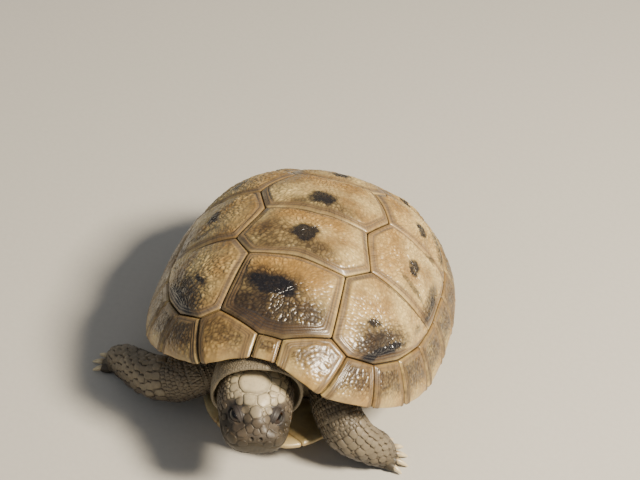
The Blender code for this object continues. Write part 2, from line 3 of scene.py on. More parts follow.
import bmesh
import bpy
import numpy as np
from mathutils import Matrix, Vector
from mathutils.bvhtree import BVHTree


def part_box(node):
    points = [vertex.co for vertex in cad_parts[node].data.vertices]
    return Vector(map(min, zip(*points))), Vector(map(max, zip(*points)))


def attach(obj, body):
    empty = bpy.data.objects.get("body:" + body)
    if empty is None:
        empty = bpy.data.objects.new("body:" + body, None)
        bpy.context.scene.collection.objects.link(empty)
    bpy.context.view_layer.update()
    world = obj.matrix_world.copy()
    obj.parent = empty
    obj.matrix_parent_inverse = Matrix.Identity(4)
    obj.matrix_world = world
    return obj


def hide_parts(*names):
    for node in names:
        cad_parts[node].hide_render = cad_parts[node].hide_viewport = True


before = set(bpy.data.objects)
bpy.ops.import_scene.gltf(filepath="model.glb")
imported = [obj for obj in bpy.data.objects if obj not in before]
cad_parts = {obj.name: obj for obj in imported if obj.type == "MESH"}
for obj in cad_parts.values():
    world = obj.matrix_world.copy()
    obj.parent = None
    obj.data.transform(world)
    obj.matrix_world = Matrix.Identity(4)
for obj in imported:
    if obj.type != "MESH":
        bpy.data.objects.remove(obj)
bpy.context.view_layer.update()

# ------------------------ camera, light and floor
# A photographer's table: the tortoise stands on plain pale card, seen from in front and above, a little from
# its left. A small warm lamp on its left gives the light; a broad weak one opposite and a pale room fill in.

MM = 0.001


def colour(code):
    """A linear colour from an sRGB hex value."""
    channels = [int(code[i : i + 2], 16) / 255 for i in (1, 3, 5)]
    linear = [c / 12.92 if c <= 0.04045 else ((c + 0.055) / 1.055) ** 2.4 for c in channels]
    return (*linear, 1.0)


def add(tree, kind, inputs=None, **settings):
    """Adds a node. Its inputs, by name or number, take a value or another node's output."""
    made = tree.nodes.new(kind)
    for name, value in settings.items():
        setattr(made, name, value)
    for name, value in (inputs or {}).items():
        if isinstance(value, bpy.types.NodeSocket):
            tree.links.new(value, made.inputs[name])
        else:
            made.inputs[name].default_value = value
    return made


def linked(name, data):
    """A new object in the scene."""
    made = bpy.data.objects.new(name, data)
    bpy.context.scene.collection.objects.link(made)
    return made


class Finish:
    """A Principled material. Each method adds one node of its pattern and gives the node's output."""

    def __init__(self, name, roughness, specular=0.5, coat=0.0, coat_roughness=0.1, subsurface=0.0):
        self.material = bpy.data.materials.new(name)
        self.material.use_nodes = True
        self.tree = self.material.node_tree
        self.shader = self.tree.nodes["Principled BSDF"]
        for title, number in {
            "Roughness": roughness,
            "Specular IOR Level": specular,
            "Coat Weight": coat,
            "Coat Roughness": coat_roughness,
            "Subsurface Weight": subsurface,
            "Subsurface Radius": (0.9 * MM, 0.5 * MM, 0.3 * MM),
            "Subsurface Scale": 1.0,
        }.items():
            self.shader.inputs[title].default_value = number

    def place(self):
        return add(self.tree, "ShaderNodeTexCoord").outputs["Object"]

    def value(self, title):
        return add(self.tree, "ShaderNodeAttribute", attribute_name=title).outputs["Fac"]

    def vector(self, title):
        return add(self.tree, "ShaderNodeAttribute", attribute_name=title).outputs["Vector"]

    def noise(self, vector, scale, detail, roughness=0.5):
        inputs = {"Vector": vector, "Scale": scale, "Detail": detail, "Roughness": roughness}
        return add(self.tree, "ShaderNodeTexNoise", inputs).outputs[0]

    def mix(self, factor, first, second):
        """A colour between two, each a hex value or an output."""
        first, second = (colour(c) if isinstance(c, str) else c for c in (first, second))
        return add(self.tree, "ShaderNodeMix", {0: factor, 6: first, 7: second}, data_type="RGBA").outputs[2]

    def span(self, source, start, end, low=0.0, high=1.0):
        """A value carried from one range to another."""
        return add(self.tree, "ShaderNodeMapRange", {0: source, 1: start, 2: end, 3: low, 4: high}).outputs[0]

    def both(self, operation, first, second):
        return add(self.tree, "ShaderNodeMath", {0: first, 1: second}, operation=operation).outputs[0]

    def bump(self, strength, distance, height):
        inputs = {"Strength": strength, "Distance": distance, "Height": height}
        self.feed("Normal", add(self.tree, "ShaderNodeBump", inputs).outputs[0])

    def feed(self, title, output):
        self.tree.links.new(output, self.shader.inputs[title])


CAMERA_AZIMUTH = math.radians(9.51)
CAMERA_HEIGHT = math.radians(37.99)
CAMERA_ROLL = math.radians(8.22)
CAMERA_PLACE = Vector((34.96, -181.13, 168.87)) * MM
CAMERA_LENS = 93.12
CAMERA_SENSOR = 36.0
CAMERA_NEAR = 0.01

camera = linked("camera", bpy.data.cameras.new("camera"))
camera.data.lens = CAMERA_LENS
camera.data.sensor_width = CAMERA_SENSOR
camera.data.clip_start = CAMERA_NEAR
turn = Matrix.Rotation(CAMERA_AZIMUTH, 4, "Z") @ Matrix.Rotation(math.pi / 2 - CAMERA_HEIGHT, 4, "X")
camera.matrix_world = Matrix.Translation(CAMERA_PLACE) @ turn @ Matrix.Rotation(CAMERA_ROLL, 4, "Z")
bpy.context.scene.camera = camera

CARD_GRAIN = 0.8 * MM
FLOOR_HALF = 1.5
card = Finish("pale_card", roughness=0.85)
card.feed("Base Color", card.mix(card.noise(card.place(), 1 / CARD_GRAIN, 3.0), "#bdbab2", "#c6c3bb"))
floor_mesh = bpy.data.meshes.new("floor")
floor_corners = [(x * FLOOR_HALF, y * FLOOR_HALF, 0) for x, y in ((-1, -1), (1, -1), (1, 1), (-1, 1))]
floor_mesh.from_pydata(floor_corners, [], [(0, 1, 2, 3)])
floor_mesh.materials.append(card.material)
floor = linked("floor", floor_mesh)


def lamp(name, place, size, power, tint):
    """A square lamp that faces the tortoise."""
    light = bpy.data.lights.new(name, "AREA")
    light.size = size
    light.energy = power
    light.color = colour(tint)[:3]
    made = linked(name, light)
    made.location = place
    made.rotation_euler = (-Vector(place)).to_track_quat("-Z", "Y").to_euler()


lamp("key_light", (0.262, -0.075, 0.3), 0.09, 4.3, "#fff1da")
lamp("fill_light", (-0.22, -0.34, 0.30), 0.34, 0.22, "#eef3ff")

room = bpy.data.worlds.new("room")
room.use_nodes = True
background = room.node_tree.nodes["Background"]
background.inputs["Color"].default_value = colour("#e9ebee")
background.inputs["Strength"].default_value = 0.27
bpy.context.scene.world = room

# ------------------------ horny plates of the carapace's dome
# Thin keratin plates, one over each field of the bony dome. Most of a plate is the areola it hatched with,
# pebbled all over; each season adds a narrow smooth ridge round it. They part along fine sunk seams.

SHELL_HALF_LENGTH = 27.0
SHELL_HALF_WIDTH = 21.85
TOP_HEIGHT = 27.5
PEAK_Y = -1.3
RIM_SIDE_HEIGHT = 8.1  # height of the shell's edge at the sides, and what it gains in front and behind
RIM_FRONT_RISE = 10.9
RIM_REAR_RISE = 2.7
RIM_POWER = 2.46  # how square the shell is seen from above
EGG = 0.04  # how much broader it is behind
DOME_POWER = 1.351  # how steep its flanks are
# All shell and body shapes are in mm from the floor under the middle of the shell.
MIDDLE = np.array(
    [sum(v.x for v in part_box("nuchal")) / 2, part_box("supracaudal")[1].y - SHELL_HALF_LENGTH * MM, 0.0]
)

# Where the seams meet: bearing from the head round to the tail, and reach from the top (0) to the rim (1)
CORNERS = {
    "nuchal": (5.5, 0.612),
    "v1_c1": (27.6, 0.554),
    "v1_v2": (44.7, 0.285),
    "v2_c1": (67.0, 0.316),
    "v2_v3": (100.0, 0.228),
    "v3_c2": (120.1, 0.323),
    "v3_v4": (151.7, 0.368),
    "v4_c3": (151.1, 0.468),
    "v4_v5": (162.8, 0.548),
    "v5_c4": (149.6, 0.690),
    "m1_m2": (33.5, 0.635),
    "m2_m3": (44.7, 0.674),
    "m3_m4": (57.0, 0.682),
    "m4_m5": (71.0, 0.692),
    "c1_c2": (81.3, 0.697),
    "m5_m6": (87.0, 0.700),
    "m6_m7": (101.5, 0.702),
    "c2_c3": (108.5, 0.703),
    "m7_m8": (115.5, 0.703),
    "m8_m9": (128.6, 0.702),
    "c3_c4": (135.8, 0.701),
    "m9_m10": (142.0, 0.698),
    "m10_m11": (156.0, 0.700),
    "m11_tail": (168.5, 0.722),
}
VERTEBRALS = (
    ("nuchal", "v1_c1", "v1_v2"),
    ("v1_v2", "v2_c1", "v2_v3"),
    ("v2_v3", "v3_c2", "v3_v4"),
    ("v3_v4", "v4_c3", "v4_v5"),
    ("v4_v5", "v5_c4", "m10_m11", "m11_tail"),
)
COSTALS = (
    ("v1_c1", "m1_m2", "m2_m3", "m3_m4", "m4_m5", "c1_c2", "v2_c1", "v1_v2"),
    ("c1_c2", "m5_m6", "m6_m7", "c2_c3", "v3_c2", "v2_v3", "v2_c1"),
    ("c2_c3", "m7_m8", "m8_m9", "c3_c4", "v4_c3", "v3_v4", "v3_c2"),
    ("c3_c4", "m9_m10", "v5_c4", "v4_v5", "v4_c3"),
)
SEAM_HALF = 0.06  # half the open width of a seam
SEAM_SHOULDER = 0.42  # width over which a plate's edge rounds down into the seam
SEAM_DROP = 0.26
RIDGE_PITCH = 0.46
RIDGE_HEIGHT = 0.13
RIDGE_POWER = 1.4  # how narrow a ridge is beside its groove
PEBBLE = 0.62
PEBBLE_HEIGHT = 0.21
AREOLA_RISE = 0.16
AREOLA_CROWN = 0.22
AREOLA_CROWN_WIDTH = 3.5
AREOLA_EDGE = (-0.08, 0.22)  # where growth gives way to areola, from their border
FURROW_DEPTH = 0.06  # the fine furrow round the areola
FURROW_WIDTH = 0.12
POINT_STEP = 0.14
EDGE_RINGS = (SEAM_HALF, 0.10, 0.18, 0.28)  # how far in the rings at a plate's edge lie
INNER_RINGS_FROM = 0.33
ROUNDED_AT = 0.72  # share of the way out where a ring starts to follow the plate's corners
ROUNDING_PASSES = 260
GROWTH_PASSES = 12
UNDER_EDGE = 0.72  # how deep a plate's underside lies at its edge and farther in
UNDER_MIDDLE = 0.78
UPWARD = np.array([0.0, 0.0, 1.0])


def spot(bearing, reach):
    """A place on the flattened shell."""
    angle = np.radians(bearing)
    return np.stack([reach * np.sin(angle), -reach * np.cos(angle)], axis=-1)


def corner(name, side=1):
    """A named corner of the seams, on the left (1) or the right (-1)."""
    bearing, reach = CORNERS[name]
    return spot(bearing * side, reach)


def dome(places):
    """Points of the shell's outer surface at places on the flattened shell."""
    reach = np.linalg.norm(places, axis=-1)
    way = places / np.maximum(reach, 1e-9)[..., None]
    size = (np.abs(way) ** RIM_POWER).sum(axis=-1) ** (1 / RIM_POWER)
    size = np.maximum(size, 1e-9)
    ends = (np.abs(way[..., 1]) / size) ** RIM_POWER
    quarter = np.minimum(reach, 1.0) * np.pi / 2
    out = np.sin(quarter)
    along = way[..., 1] / size * out
    rim = RIM_SIDE_HEIGHT + np.where(along < 0, RIM_FRONT_RISE, RIM_REAR_RISE) * ends
    x = SHELL_HALF_WIDTH * way[..., 0] / size * out * (1 + EGG * along)
    y = PEAK_Y * (1 - out) + SHELL_HALF_LENGTH * along
    z = rim + (TOP_HEIGHT - rim) * np.maximum(np.cos(quarter), 0.0) ** DOME_POWER
    return np.stack([x, y, z], axis=-1)


def unit(vectors):
    return vectors / np.maximum(np.linalg.norm(vectors, axis=-1, keepdims=True), 1e-12)


def dome_normal(places):
    step = 0.01
    reach = np.linalg.norm(places, axis=-1, keepdims=True)
    places = places * np.minimum(1.0, (1.0 - step) / np.maximum(reach, 1e-9))
    across = dome(places + (step, 0)) - dome(places - (step, 0))
    along = dome(places + (0, step)) - dome(places - (0, step))
    return unit(np.cross(across, along))


def ramp(value, start, end):
    """A smooth step from 0 to 1."""
    share = np.clip((value - start) / (end - start), 0.0, 1.0)
    return share * share * (3 - 2 * share)


def scatter(cells, seed):
    """Three even random numbers, 0 to 1, for each whole-numbered cell of space."""
    mixed = cells[..., 0] * 73856093 ^ cells[..., 1] * 19349663 ^ cells[..., 2] * 83492791
    numbers = []
    for turn_number in range(3):
        mixed = (mixed + seed * 7919 + turn_number * 104729) & 0x7FFFFFFF
        mixed = (mixed ^ (mixed >> 13)) * 1274126177 & 0x7FFFFFFF
        mixed = mixed ^ (mixed >> 16)
        numbers.append((mixed & 0xFFFFFF) / 0xFFFFFF)
    return np.stack(numbers, axis=-1)


def grains(points, size, seed):
    """Height of packed pebbles, 0 to 1, from the grooves between them. Some stand lower than others."""
    scaled = points / size
    home = np.floor(scaled).astype(np.int64)
    first = np.full(points.shape[:-1], 9.0)
    second = first.copy()
    label = first.copy()
    for offset in np.ndindex(3, 3, 3):
        cell = home + np.array(offset) - 1
        jitter = scatter(cell, seed)
        apart = np.linalg.norm(scaled - cell - jitter, axis=-1)
        nearer = apart < first
        second = np.where(nearer, first, np.minimum(second, apart))
        label = np.where(nearer, jitter[..., 0], label)
        first = np.where(nearer, apart, first)
    grain = np.clip(second - first, 0.0, 1.0)
    return np.sqrt(np.clip(grain * 2.4, 0, 1)) * (0.6 + 0.4 * label)


def drift(points, size, seed):
    """Smooth unevenness, -1 to 1, with the given size."""
    scaled = points / size
    home = np.floor(scaled).astype(np.int64)
    part = scaled - home
    part = part * part * (3 - 2 * part)
    total = np.zeros(points.shape[:-1])
    for offset in np.ndindex(2, 2, 2):
        weight = np.prod(np.where(offset, part, 1 - part), axis=-1)
        total += weight * scatter(home + np.array(offset), seed)[..., 0]
    return total * 2 - 1


def give(mesh, values):
    """Puts a value or a vector for each point on a mesh, under each name."""
    for title, numbers in values.items():
        numbers = np.asarray(numbers, dtype=np.float32)
        kind, field = ("FLOAT_VECTOR", "vector") if numbers.ndim == 2 else ("FLOAT", "value")
        mesh.attributes.new(title, kind, "POINT").data.foreach_set(field, numbers.ravel())


def mesh_of(name, points, faces, values):
    """A mesh from points in mm about the shell's middle."""
    mesh = bpy.data.meshes.new(name)
    mesh.from_pydata((np.asarray(points) * MM + MIDDLE).tolist(), [], faces)
    give(mesh, values)
    return mesh


def make_piece(name, points, faces, finish, values=None):
    mesh = mesh_of(name, points, faces, values or {})
    mesh.shade_smooth()
    mesh.materials.append(finish.material)
    made = linked(name, mesh)
    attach(made, "root")
    return made


def softened(places, times):
    for _ in range(times):
        places = (np.roll(places, 1, axis=0) + 2 * places + np.roll(places, -1, axis=0)) / 4
    return places


def walk(corners, step, surface):
    """Evenly spaced places round a closed outline, its corners a little rounded, and the outline's length."""
    corners = np.array(corners)
    share = np.linspace(0, 1, 60, endpoint=False)[:, None]
    fine = np.concatenate([a + (b - a) * share for a, b in zip(corners, np.roll(corners, -1, axis=0))])
    real = surface(fine)
    lengths = np.linalg.norm(np.roll(real, -1, axis=0) - real, axis=-1)
    travelled = np.concatenate([[0], np.cumsum(lengths)])
    count = int(travelled[-1] / step)
    wanted = np.arange(count) / count * travelled[-1]
    closed = np.concatenate([fine, fine[:1]])
    places = np.stack([np.interp(wanted, travelled, closed[:, i]) for i in (0, 1)], axis=-1)
    return softened(places, 5), travelled[-1]


MARK_POWER = 2.4  # how square a mark is


def spots_on(points, marks, surface, normal, soft=0.6):
    """How dark the marks make each point. A mark is its place, half width round the shell, half height up
    it (mm) and strength."""
    total = np.zeros(points.shape[:-1])
    for place, wide, high, strength in marks:
        middle = surface(np.array([place]))[0]
        up = surface(np.array([place]) * 0.98 + 1e-5)[0] - middle
        facing = normal(np.array([place]))[0]
        up = unit(up - facing * up.dot(facing))
        side = np.cross(up, facing)
        ragged = np.stack([drift(points, 1.3, seed) for seed in (51, 52, 53)], axis=-1)
        fray = np.stack([drift(points, 0.45, seed) for seed in (54, 55, 56)], axis=-1)
        offset = points - middle + 0.34 * ragged + 0.16 * fray
        power = MARK_POWER
        away = (np.abs(offset @ side / wide) ** power + np.abs(offset @ up / high) ** power) ** (1 / power)
        total = np.maximum(total, strength * (1 - ramp(away, soft, 1.3)))
    return total


def facets(*corners):
    """Faces from the numbers of their corners, one array for each corner."""
    return np.stack(np.broadcast_arrays(*corners), axis=1).tolist()


def round_ring(count):
    """The numbers of a ring's points, and of the point after each."""
    index = np.arange(count)
    return index, (index + 1) % count


def tube_sides(first, rows, count):
    """Faces between rings of points that follow one another."""
    index, after = round_ring(count)
    faces = []
    for a in range(first, first + (rows - 1) * count, count):
        faces += facets(a + index, a + after, a + count + after, a + count + index)
    return faces


def facing_out(points, faces, way, sample=0):
    """The faces, turned round if the sample one looks against the way out."""
    a, b, c = (points[i] for i in faces[sample][:3])
    return [face[::-1] for face in faces] if np.cross(b - a, c - a).dot(way) < 0 else faces


def horn_values(extra, lie, **fields):
    """What the horn's pattern reads at each point of a plate, filled up for the points of its inner face."""
    inside = {"growth": 1.0, "seam": 1.0, "pebble": 0.5, "bare": 1.0}
    values = {
        title: np.concatenate([field.reshape(-1), np.full(extra, inside.get(title, 0.0))])
        for title, field in fields.items()
    }
    values["lie"] = np.concatenate([lie.reshape(-1, 3), np.zeros((extra, 3))])
    return values


def ring_plate(
    name, corners, centre, band, marks, warm, surface, normal, finish, seed, pebbling=1.0, shade=()
):
    """A plate in rings round its areola. band gives the width of new growth for a direction out of centre,
    and shade gives the patches of painted shade over it.
    """
    outline, length = walk(corners, POINT_STEP, surface)
    count = len(outline)
    real = surface(outline)
    reach = np.linalg.norm(real - surface(np.array([centre]))[0], axis=-1)
    growth = softened(band(unit(outline - centre))[:, None], GROWTH_PASSES)[:, 0]
    rings = int(reach.mean() / POINT_STEP)
    soft = softened(outline, ROUNDING_PASSES)
    radius, soft_radius = (np.linalg.norm(line - centre, axis=1).mean() for line in (outline, soft))
    soft = centre + (soft - centre) * (radius / soft_radius)
    shares = 1 - np.arange(rings) / rings
    places = []
    depth = []
    for inward in EDGE_RINGS:
        share = 1 - inward / reach
        places.append(centre + (outline - centre) * share[:, None])
        depth.append(np.full(count, inward))
    for share in shares[3:]:
        rounding = ramp(share, 1.0, ROUNDED_AT)
        ring = outline * (1 - rounding) + soft * rounding
        places.append(centre + (ring - centre) * share)
        depth.append((1 - share) * reach)
    places = np.array(places)
    depth = np.array(depth)
    keep = [i for i in range(len(depth)) if i < len(EDGE_RINGS) or depth[i].min() > INNER_RINGS_FROM]
    places = places[keep]
    depth = depth[keep]
    points = surface(places)
    facing = normal(places)
    inside = ramp(depth - growth, *AREOLA_EDGE)
    wobble = drift(points, 2.2, seed) * 0.10
    phase = (depth + wobble - 0.30) / RIDGE_PITCH
    ridge = (0.5 - 0.5 * np.cos(2 * np.pi * phase)) ** RIDGE_POWER * ramp(depth, 0.26, 0.40) * (1 - inside)
    pebble = grains(points + drift(points, 0.5, seed + 3)[..., None] * 0.15, PEBBLE, seed)
    rough_zone = inside * pebbling * (0.55 + 0.45 * ramp(drift(points, 3.0, seed + 5), -0.6, 0.3))
    height = -SEAM_DROP * np.clip(1 - depth / SEAM_SHOULDER, 0, 1) ** 2
    height += 0.10 * ramp(depth, 0.2, 1.2) + ridge * RIDGE_HEIGHT
    height += inside * AREOLA_RISE - FURROW_DEPTH * np.exp(-(((depth - growth) / FURROW_WIDTH) ** 2))
    height += AREOLA_CROWN * ramp(depth - growth, 0.0, AREOLA_CROWN_WIDTH)
    height += rough_zone * (pebble - 0.5) * PEBBLE_HEIGHT
    height += 0.05 * drift(points, 1.6, seed + 7) * ramp(depth, 0.3, 1.0)
    outer = points + facing * height[..., None]
    darkness = spots_on(points, marks, surface, normal)
    warmth = warm(points)
    # painted shade over the front and lower parts of the plate
    dusk = spots_on(points, shade, surface, normal, soft=0.5)
    angle = np.arange(count) / count * 2 * np.pi
    around = length / (2 * np.pi)
    lie = np.stack([np.cos(angle) * around, np.sin(angle) * around], axis=-1)
    lie = np.concatenate([np.broadcast_to(lie, (*depth.shape, 2)), depth[..., None]], axis=-1)
    middle_place = np.array([centre])
    middle_point = surface(middle_place) + normal(middle_place) * height[-1].mean()
    inner = []
    edge_share = (1 - 0.12 / reach)[:, None]
    for share, deep in ((edge_share, UNDER_EDGE), (0.66, UNDER_MIDDLE), (0.33, UNDER_MIDDLE)):
        inner_places = centre + (outline - centre) * share
        inner.append(surface(inner_places) - normal(inner_places) * deep)
    inner_middle = surface(middle_place) - normal(middle_place) * UNDER_MIDDLE
    every = np.concatenate([outer.reshape(-1, 3), middle_point, np.concatenate(inner), inner_middle])
    values = horn_values(
        len(every) - depth.size, lie, growth=np.clip(depth / np.maximum(growth, 0.1), 0, 1),
        seam=np.clip(depth, 0, 2), ridge=ridge, pebble=pebble * rough_zone, bare=inside, dark=darkness,
        warm=warmth, dusk=dusk,
    )
    rows = len(depth)
    hub = rows * count
    for title, field in (("dark", darkness), ("warm", warmth), ("dusk", dusk)):
        values[title][hub] = field[-1].mean()
    index, after = round_ring(count)
    last = hub - count
    under = hub + 1
    faces = tube_sides(0, rows, count)
    faces += facets(last + index, last + after, hub)
    faces += facets(index, under + index, under + after, after)
    for a in (under, under + count):
        faces += facets(a + index, a + count + index, a + count + after, a + after)
    last = under + 2 * count
    faces += facets(last + after, last + index, last + count)
    made = make_piece(name, every, facing_out(every, faces, facing[0, 0]), finish, values)
    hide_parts(name)


CLOUD_SIZE = 4.5 * MM
FLECK_SIZE = 0.9 * MM
MICRO_SIZE = 0.12 * MM
STREAK_DRAW = (1.0, 1.0, 0.14)  # streaks run across the rings, so they are drawn out along that way


def horn(name, pale, tan, gold, band, groove, mark):
    """Keratin of a young shell, grown in layers and never shed: satin, a little see-through, and stained dark
    where pigment lies in the areola. The pale edge is the newest horn."""
    made = Finish(name, roughness=0.38, specular=0.5, coat=0.34, coat_roughness=0.2, subsurface=0.05)
    value, mix, span, both = made.value, made.mix, made.span, made.both
    place = made.place()
    lie = made.vector("lie")
    drawn = add(made.tree, "ShaderNodeVectorMath", {0: lie, 1: STREAK_DRAW}, operation="MULTIPLY").outputs[0]
    cloud = made.noise(place, 1 / CLOUD_SIZE, 4.0)
    fleck = made.noise(place, 1 / FLECK_SIZE, 5.0, 0.65)
    streak = made.noise(drawn, 3.2, 4.0, 0.6)
    micro = made.noise(place, 1 / MICRO_SIZE, 3.0)

    # the areola: pale horn clouded with tan, warmed on its rear half
    surface = mix(span(cloud, 0.35, 0.65), pale, tan)
    surface = mix(both("MULTIPLY", value("warm"), span(cloud, 0.2, 0.7, 0.75, 1.0)), surface, gold)
    surface = mix(span(fleck, 0.45, 0.75, 0.0, 0.35), surface, band)
    # the newer rings round it, and the painted shade and stain that lie over both
    between = span(value("growth"), 0.10, 0.45)
    outside = both("SUBTRACT", 1.0, value("bare"))
    banded = mix(span(value("ridge"), 0.05, 0.75, 0.0, 0.62), band, tan)
    banded = mix(span(streak, 0.42, 0.66, 0.0, 0.4), banded, groove)
    surface = mix(both("MULTIPLY", both("MULTIPLY", between, outside), 0.9), surface, banded)
    surface = mix(span(value("dusk"), 0.0, 1.0, 0.0, 0.86), surface, "#382a1e")
    # painted shade in the hollows between pebbles, deeper within the painted shade of the plate
    hollow = span(value("pebble"), 0.12, 0.72, 1.0, 0.0)
    hollow = both("MULTIPLY", hollow, span(value("dusk"), 0.0, 0.8, 0.36, 0.95))
    hollow = both("MULTIPLY", hollow, value("bare"))
    surface = mix(hollow, surface, groove)
    # painted highlight: paler tops of the pebbles, weaker in the painted shade
    tops = span(value("pebble"), 0.6, 0.98, 0.0, 0.34)
    raised = both("MULTIPLY", tops, span(value("dusk"), 0.0, 1.0, 1.0, 0.25))
    surface = mix(raised, surface, pale)
    surface = mix(span(streak, 0.50, 0.72, 0.0, 0.28), surface, groove)
    # black pigment with frayed edges, and the dark seam
    broken = both("ADD", value("dark"), span(fleck, 0.3, 0.7, -0.16, 0.16))
    broken = both("ADD", broken, span(streak, 0.3, 0.7, -0.09, 0.09))
    surface = mix(span(broken, 0.22, 0.84, 0.0, 0.94), surface, mark)
    surface = mix(span(value("seam"), 0.06, 0.22, 0.88, 0.0), surface, groove)
    made.feed("Base Color", surface)
    rough = span(fleck, 0.3, 0.7, 0.28, 0.44)
    made.feed("Roughness", both("SUBTRACT", rough, both("MULTIPLY", value("dark"), 0.12)))
    made.bump(0.55, 0.05 * MM, both("ADD", both("MULTIPLY", streak, 0.6), both("MULTIPLY", micro, 0.4)))
    return made


dome_horn = horn("areola_keratin", "#dcc283", "#a3834f", "#a77f40", "#695b4d", "#291f16", "#111117")


# A mark or a patch of painted shade: bearing and reach of its middle, half width round the shell, half
# height, strength
VERTEBRAL_MARKS = (
    ((-9, 0.37, 3.9, 1.7, 1.0), (-7, 0.49, 5.6, 3.0, 0.4)),
    ((-6, 0.09, 2.1, 1.9, 1.0),),
    ((180, 0.125, 2.3, 1.8, 0.9),),
    ((180, 0.420, 1.9, 1.4, 0.9),),
    ((180, 0.650, 2.2, 1.3, 0.85),),
)
VERTEBRAL_SHADES = (
    ((-2, 0.50, 8.6, 4.6, 1.0), (-12, 0.37, 5.8, 2.9, 0.9)),
    ((-45, 0.17, 3.8, 3.2, 0.55), (2, 0.17, 5.0, 2.2, 0.6)),
    ((180, 0.07, 5.5, 2.4, 0.55),),
    (),
    (),
)
COSTAL_SHADES = (
    ((50, 0.60, 6.0, 2.7, 1.0), (48, 0.53, 3.8, 1.9, 0.55)),
    ((88, 0.63, 4.4, 1.6, 0.8),),
    ((122, 0.63, 4.0, 1.4, 0.7),),
    ((143, 0.66, 3.0, 1.2, 0.6),),
)
COSTAL_MARKS = (
    (
        (49, 0.500, 1.5, 0.55, 0.8),
        (50, 0.622, 5.2, 0.70, 0.95),
        (47, 0.575, 4.6, 1.8, 0.4),
        (73, 0.620, 1.6, 0.6, 0.55),
    ),
    ((95, 0.470, 1.6, 1.2, 0.85), (88, 0.640, 3.4, 0.55, 0.7), (85, 0.500, 0.5, 3.4, 0.6)),
    ((124, 0.500, 1.5, 1.2, 0.85), (122, 0.640, 3.2, 0.55, 0.7), (111, 0.520, 0.5, 3.0, 0.6)),
    ((146, 0.570, 1.3, 1.0, 0.85), (143, 0.665, 2.2, 0.45, 0.7)),
)


def placed(marks, side=1):
    return [(spot(bearing * side, reach), *rest) for bearing, reach, *rest in marks]


def vertebral_band(front, rear):
    """Width of new growth on a vertebral for a direction out of its middle."""
    return lambda way: rear + (front - rear) * (1 - way[..., 1]) / 2


def costal_band(middle, front, rear, lower):
    """The same for a costal, broader toward its lower edge."""
    out = middle / np.linalg.norm(middle)

    def band(way):
        return rear + (front - rear) * (1 - way[..., 1]) / 2 + lower * np.clip(way @ out, 0, 1)

    return band


def warm_behind(outline):
    """Warm horn on the rear half of a vertebral, along the ridge of the back."""
    half = np.ptp(dome(outline)[:, 1]) / 2
    back = dome(np.array([(outline.max(axis=0) + outline.min(axis=0)) / 2]))[0, 1]
    start, end = back + 0.05 * half, back + 0.6 * half
    return lambda p: ramp(p[..., 1], start, end) * ramp(np.abs(p[..., 0]), 7.5, 3.5)


def warm_above(outline, strength):
    """Warm horn along the upper edge of a costal."""
    heights = dome(outline)[:, 2]
    top, low = heights.max(), heights.min()
    return lambda p: ramp(p[..., 2], top - 0.45 * (top - low), top - 0.15 * (top - low)) * strength


AREOLA_SHIFT = np.array([0.0, 0.018])  # an areola lies a little behind the middle of its vertebral
for number, names in enumerate(VERTEBRALS, 1):
    left = [corner(n) for n in names]
    right = [corner(n, -1) for n in reversed(names)]
    outline = np.array(left + right)
    ring_plate(
        f"vertebral_{number}",
        left + right,
        (outline.max(axis=0) + outline.min(axis=0)) / 2 + AREOLA_SHIFT,
        vertebral_band(2.3, 0.9) if number == 1 else vertebral_band(1.5, 0.8),
        placed(VERTEBRAL_MARKS[number - 1]),
        warm_behind(outline),
        dome,
        dome_normal,
        dome_horn,
        seed=number,
        pebbling=1.0 if number == 1 else 0.85,
        shade=placed(VERTEBRAL_SHADES[number - 1]),
    )

for number, names in enumerate(COSTALS, 1):
    for side, side_name in ((1, "left"), (-1, "right")):
        corners = [corner(n, side) for n in names][::side]
        outline = np.array(corners)
        middle = (outline.max(axis=0) + outline.min(axis=0)) / 2
        ring_plate(
            f"costal_{side_name}_{number}",
            corners,
            middle,
            costal_band(middle, 1.3, 0.7, 0.35),
            placed(COSTAL_MARKS[number - 1], side),
            warm_above(outline, 0.35 if number == 1 else 0.6),
            dome,
            dome_normal,
            dome_horn,
            seed=20 + number * 2 + (side > 0),
            shade=placed(COSTAL_SHADES[number - 1], side),
        )


# ------------------------ marginals, nuchal and supracaudal
# The plates round the rim. Each bends over the shell's edge and in along its underside. New horn is added
# along the seams only, so its ridges follow the top and the two ends, and the free edge stays plain and pale.

MARGINAL_TOPS = (
    ("nuchal", "v1_c1", "m1_m2"),
    ("m1_m2", "m2_m3"),
    ("m2_m3", "m3_m4"),
    ("m3_m4", "m4_m5"),
    ("m4_m5", "c1_c2", "m5_m6"),
    ("m5_m6", "m6_m7"),
    ("m6_m7", "c2_c3", "m7_m8"),
    ("m7_m8", "m8_m9"),
    ("m8_m9", "c3_c4", "m9_m10"),
    ("m9_m10", "v5_c4", "m10_m11"),
    ("m10_m11", "m11_tail"),
)
# Bearings of the seams between marginals at the free edge
RIM_SEAMS = (4.9, 22.4, 41.5, 56.4, 71.6, 87.0, 101.8, 115.5, 128.6, 142.3, 156.6, 169.7)
NOTCH_DEPTH = 0.071  # the shallow notch in the rim over the neck
NOTCH_HALF_ANGLE = 25.0
RIM_TUCK = 3.2  # how far in under the shell the marginals reach
NECK_TUCK_LOSS = 0.6
BRIDGE_DROP = 1.9  # how far they turn down to the bridge between the legs
BRIDGE_FROM = -9.6
BRIDGE_TO = 10.2
BRIDGE_EASE = 2.4
RIM_ROUNDING = 8  # passes that round the shell's free edge
ROWS_UNDER = 16
RIM_RELIEF = 0.8  # ridges, pebbles and areola of the rim beside those of the dome
RIM_PEBBLE = 0.85
RIM_THICKNESS = 0.75
CORNER_ROUNDING = 0.16  # how round the rings turn a marginal's corners
KNEE_AT = 0.45  # share of the way down where the inner side bends


def over_neck(bearing):
    """1 above the middle of the neck, easing to 0 at the ends of the notch."""
    share = np.minimum(np.abs(bearing) / NOTCH_HALF_ANGLE, 1.0)
    return np.cos(share * np.pi / 2) ** 2


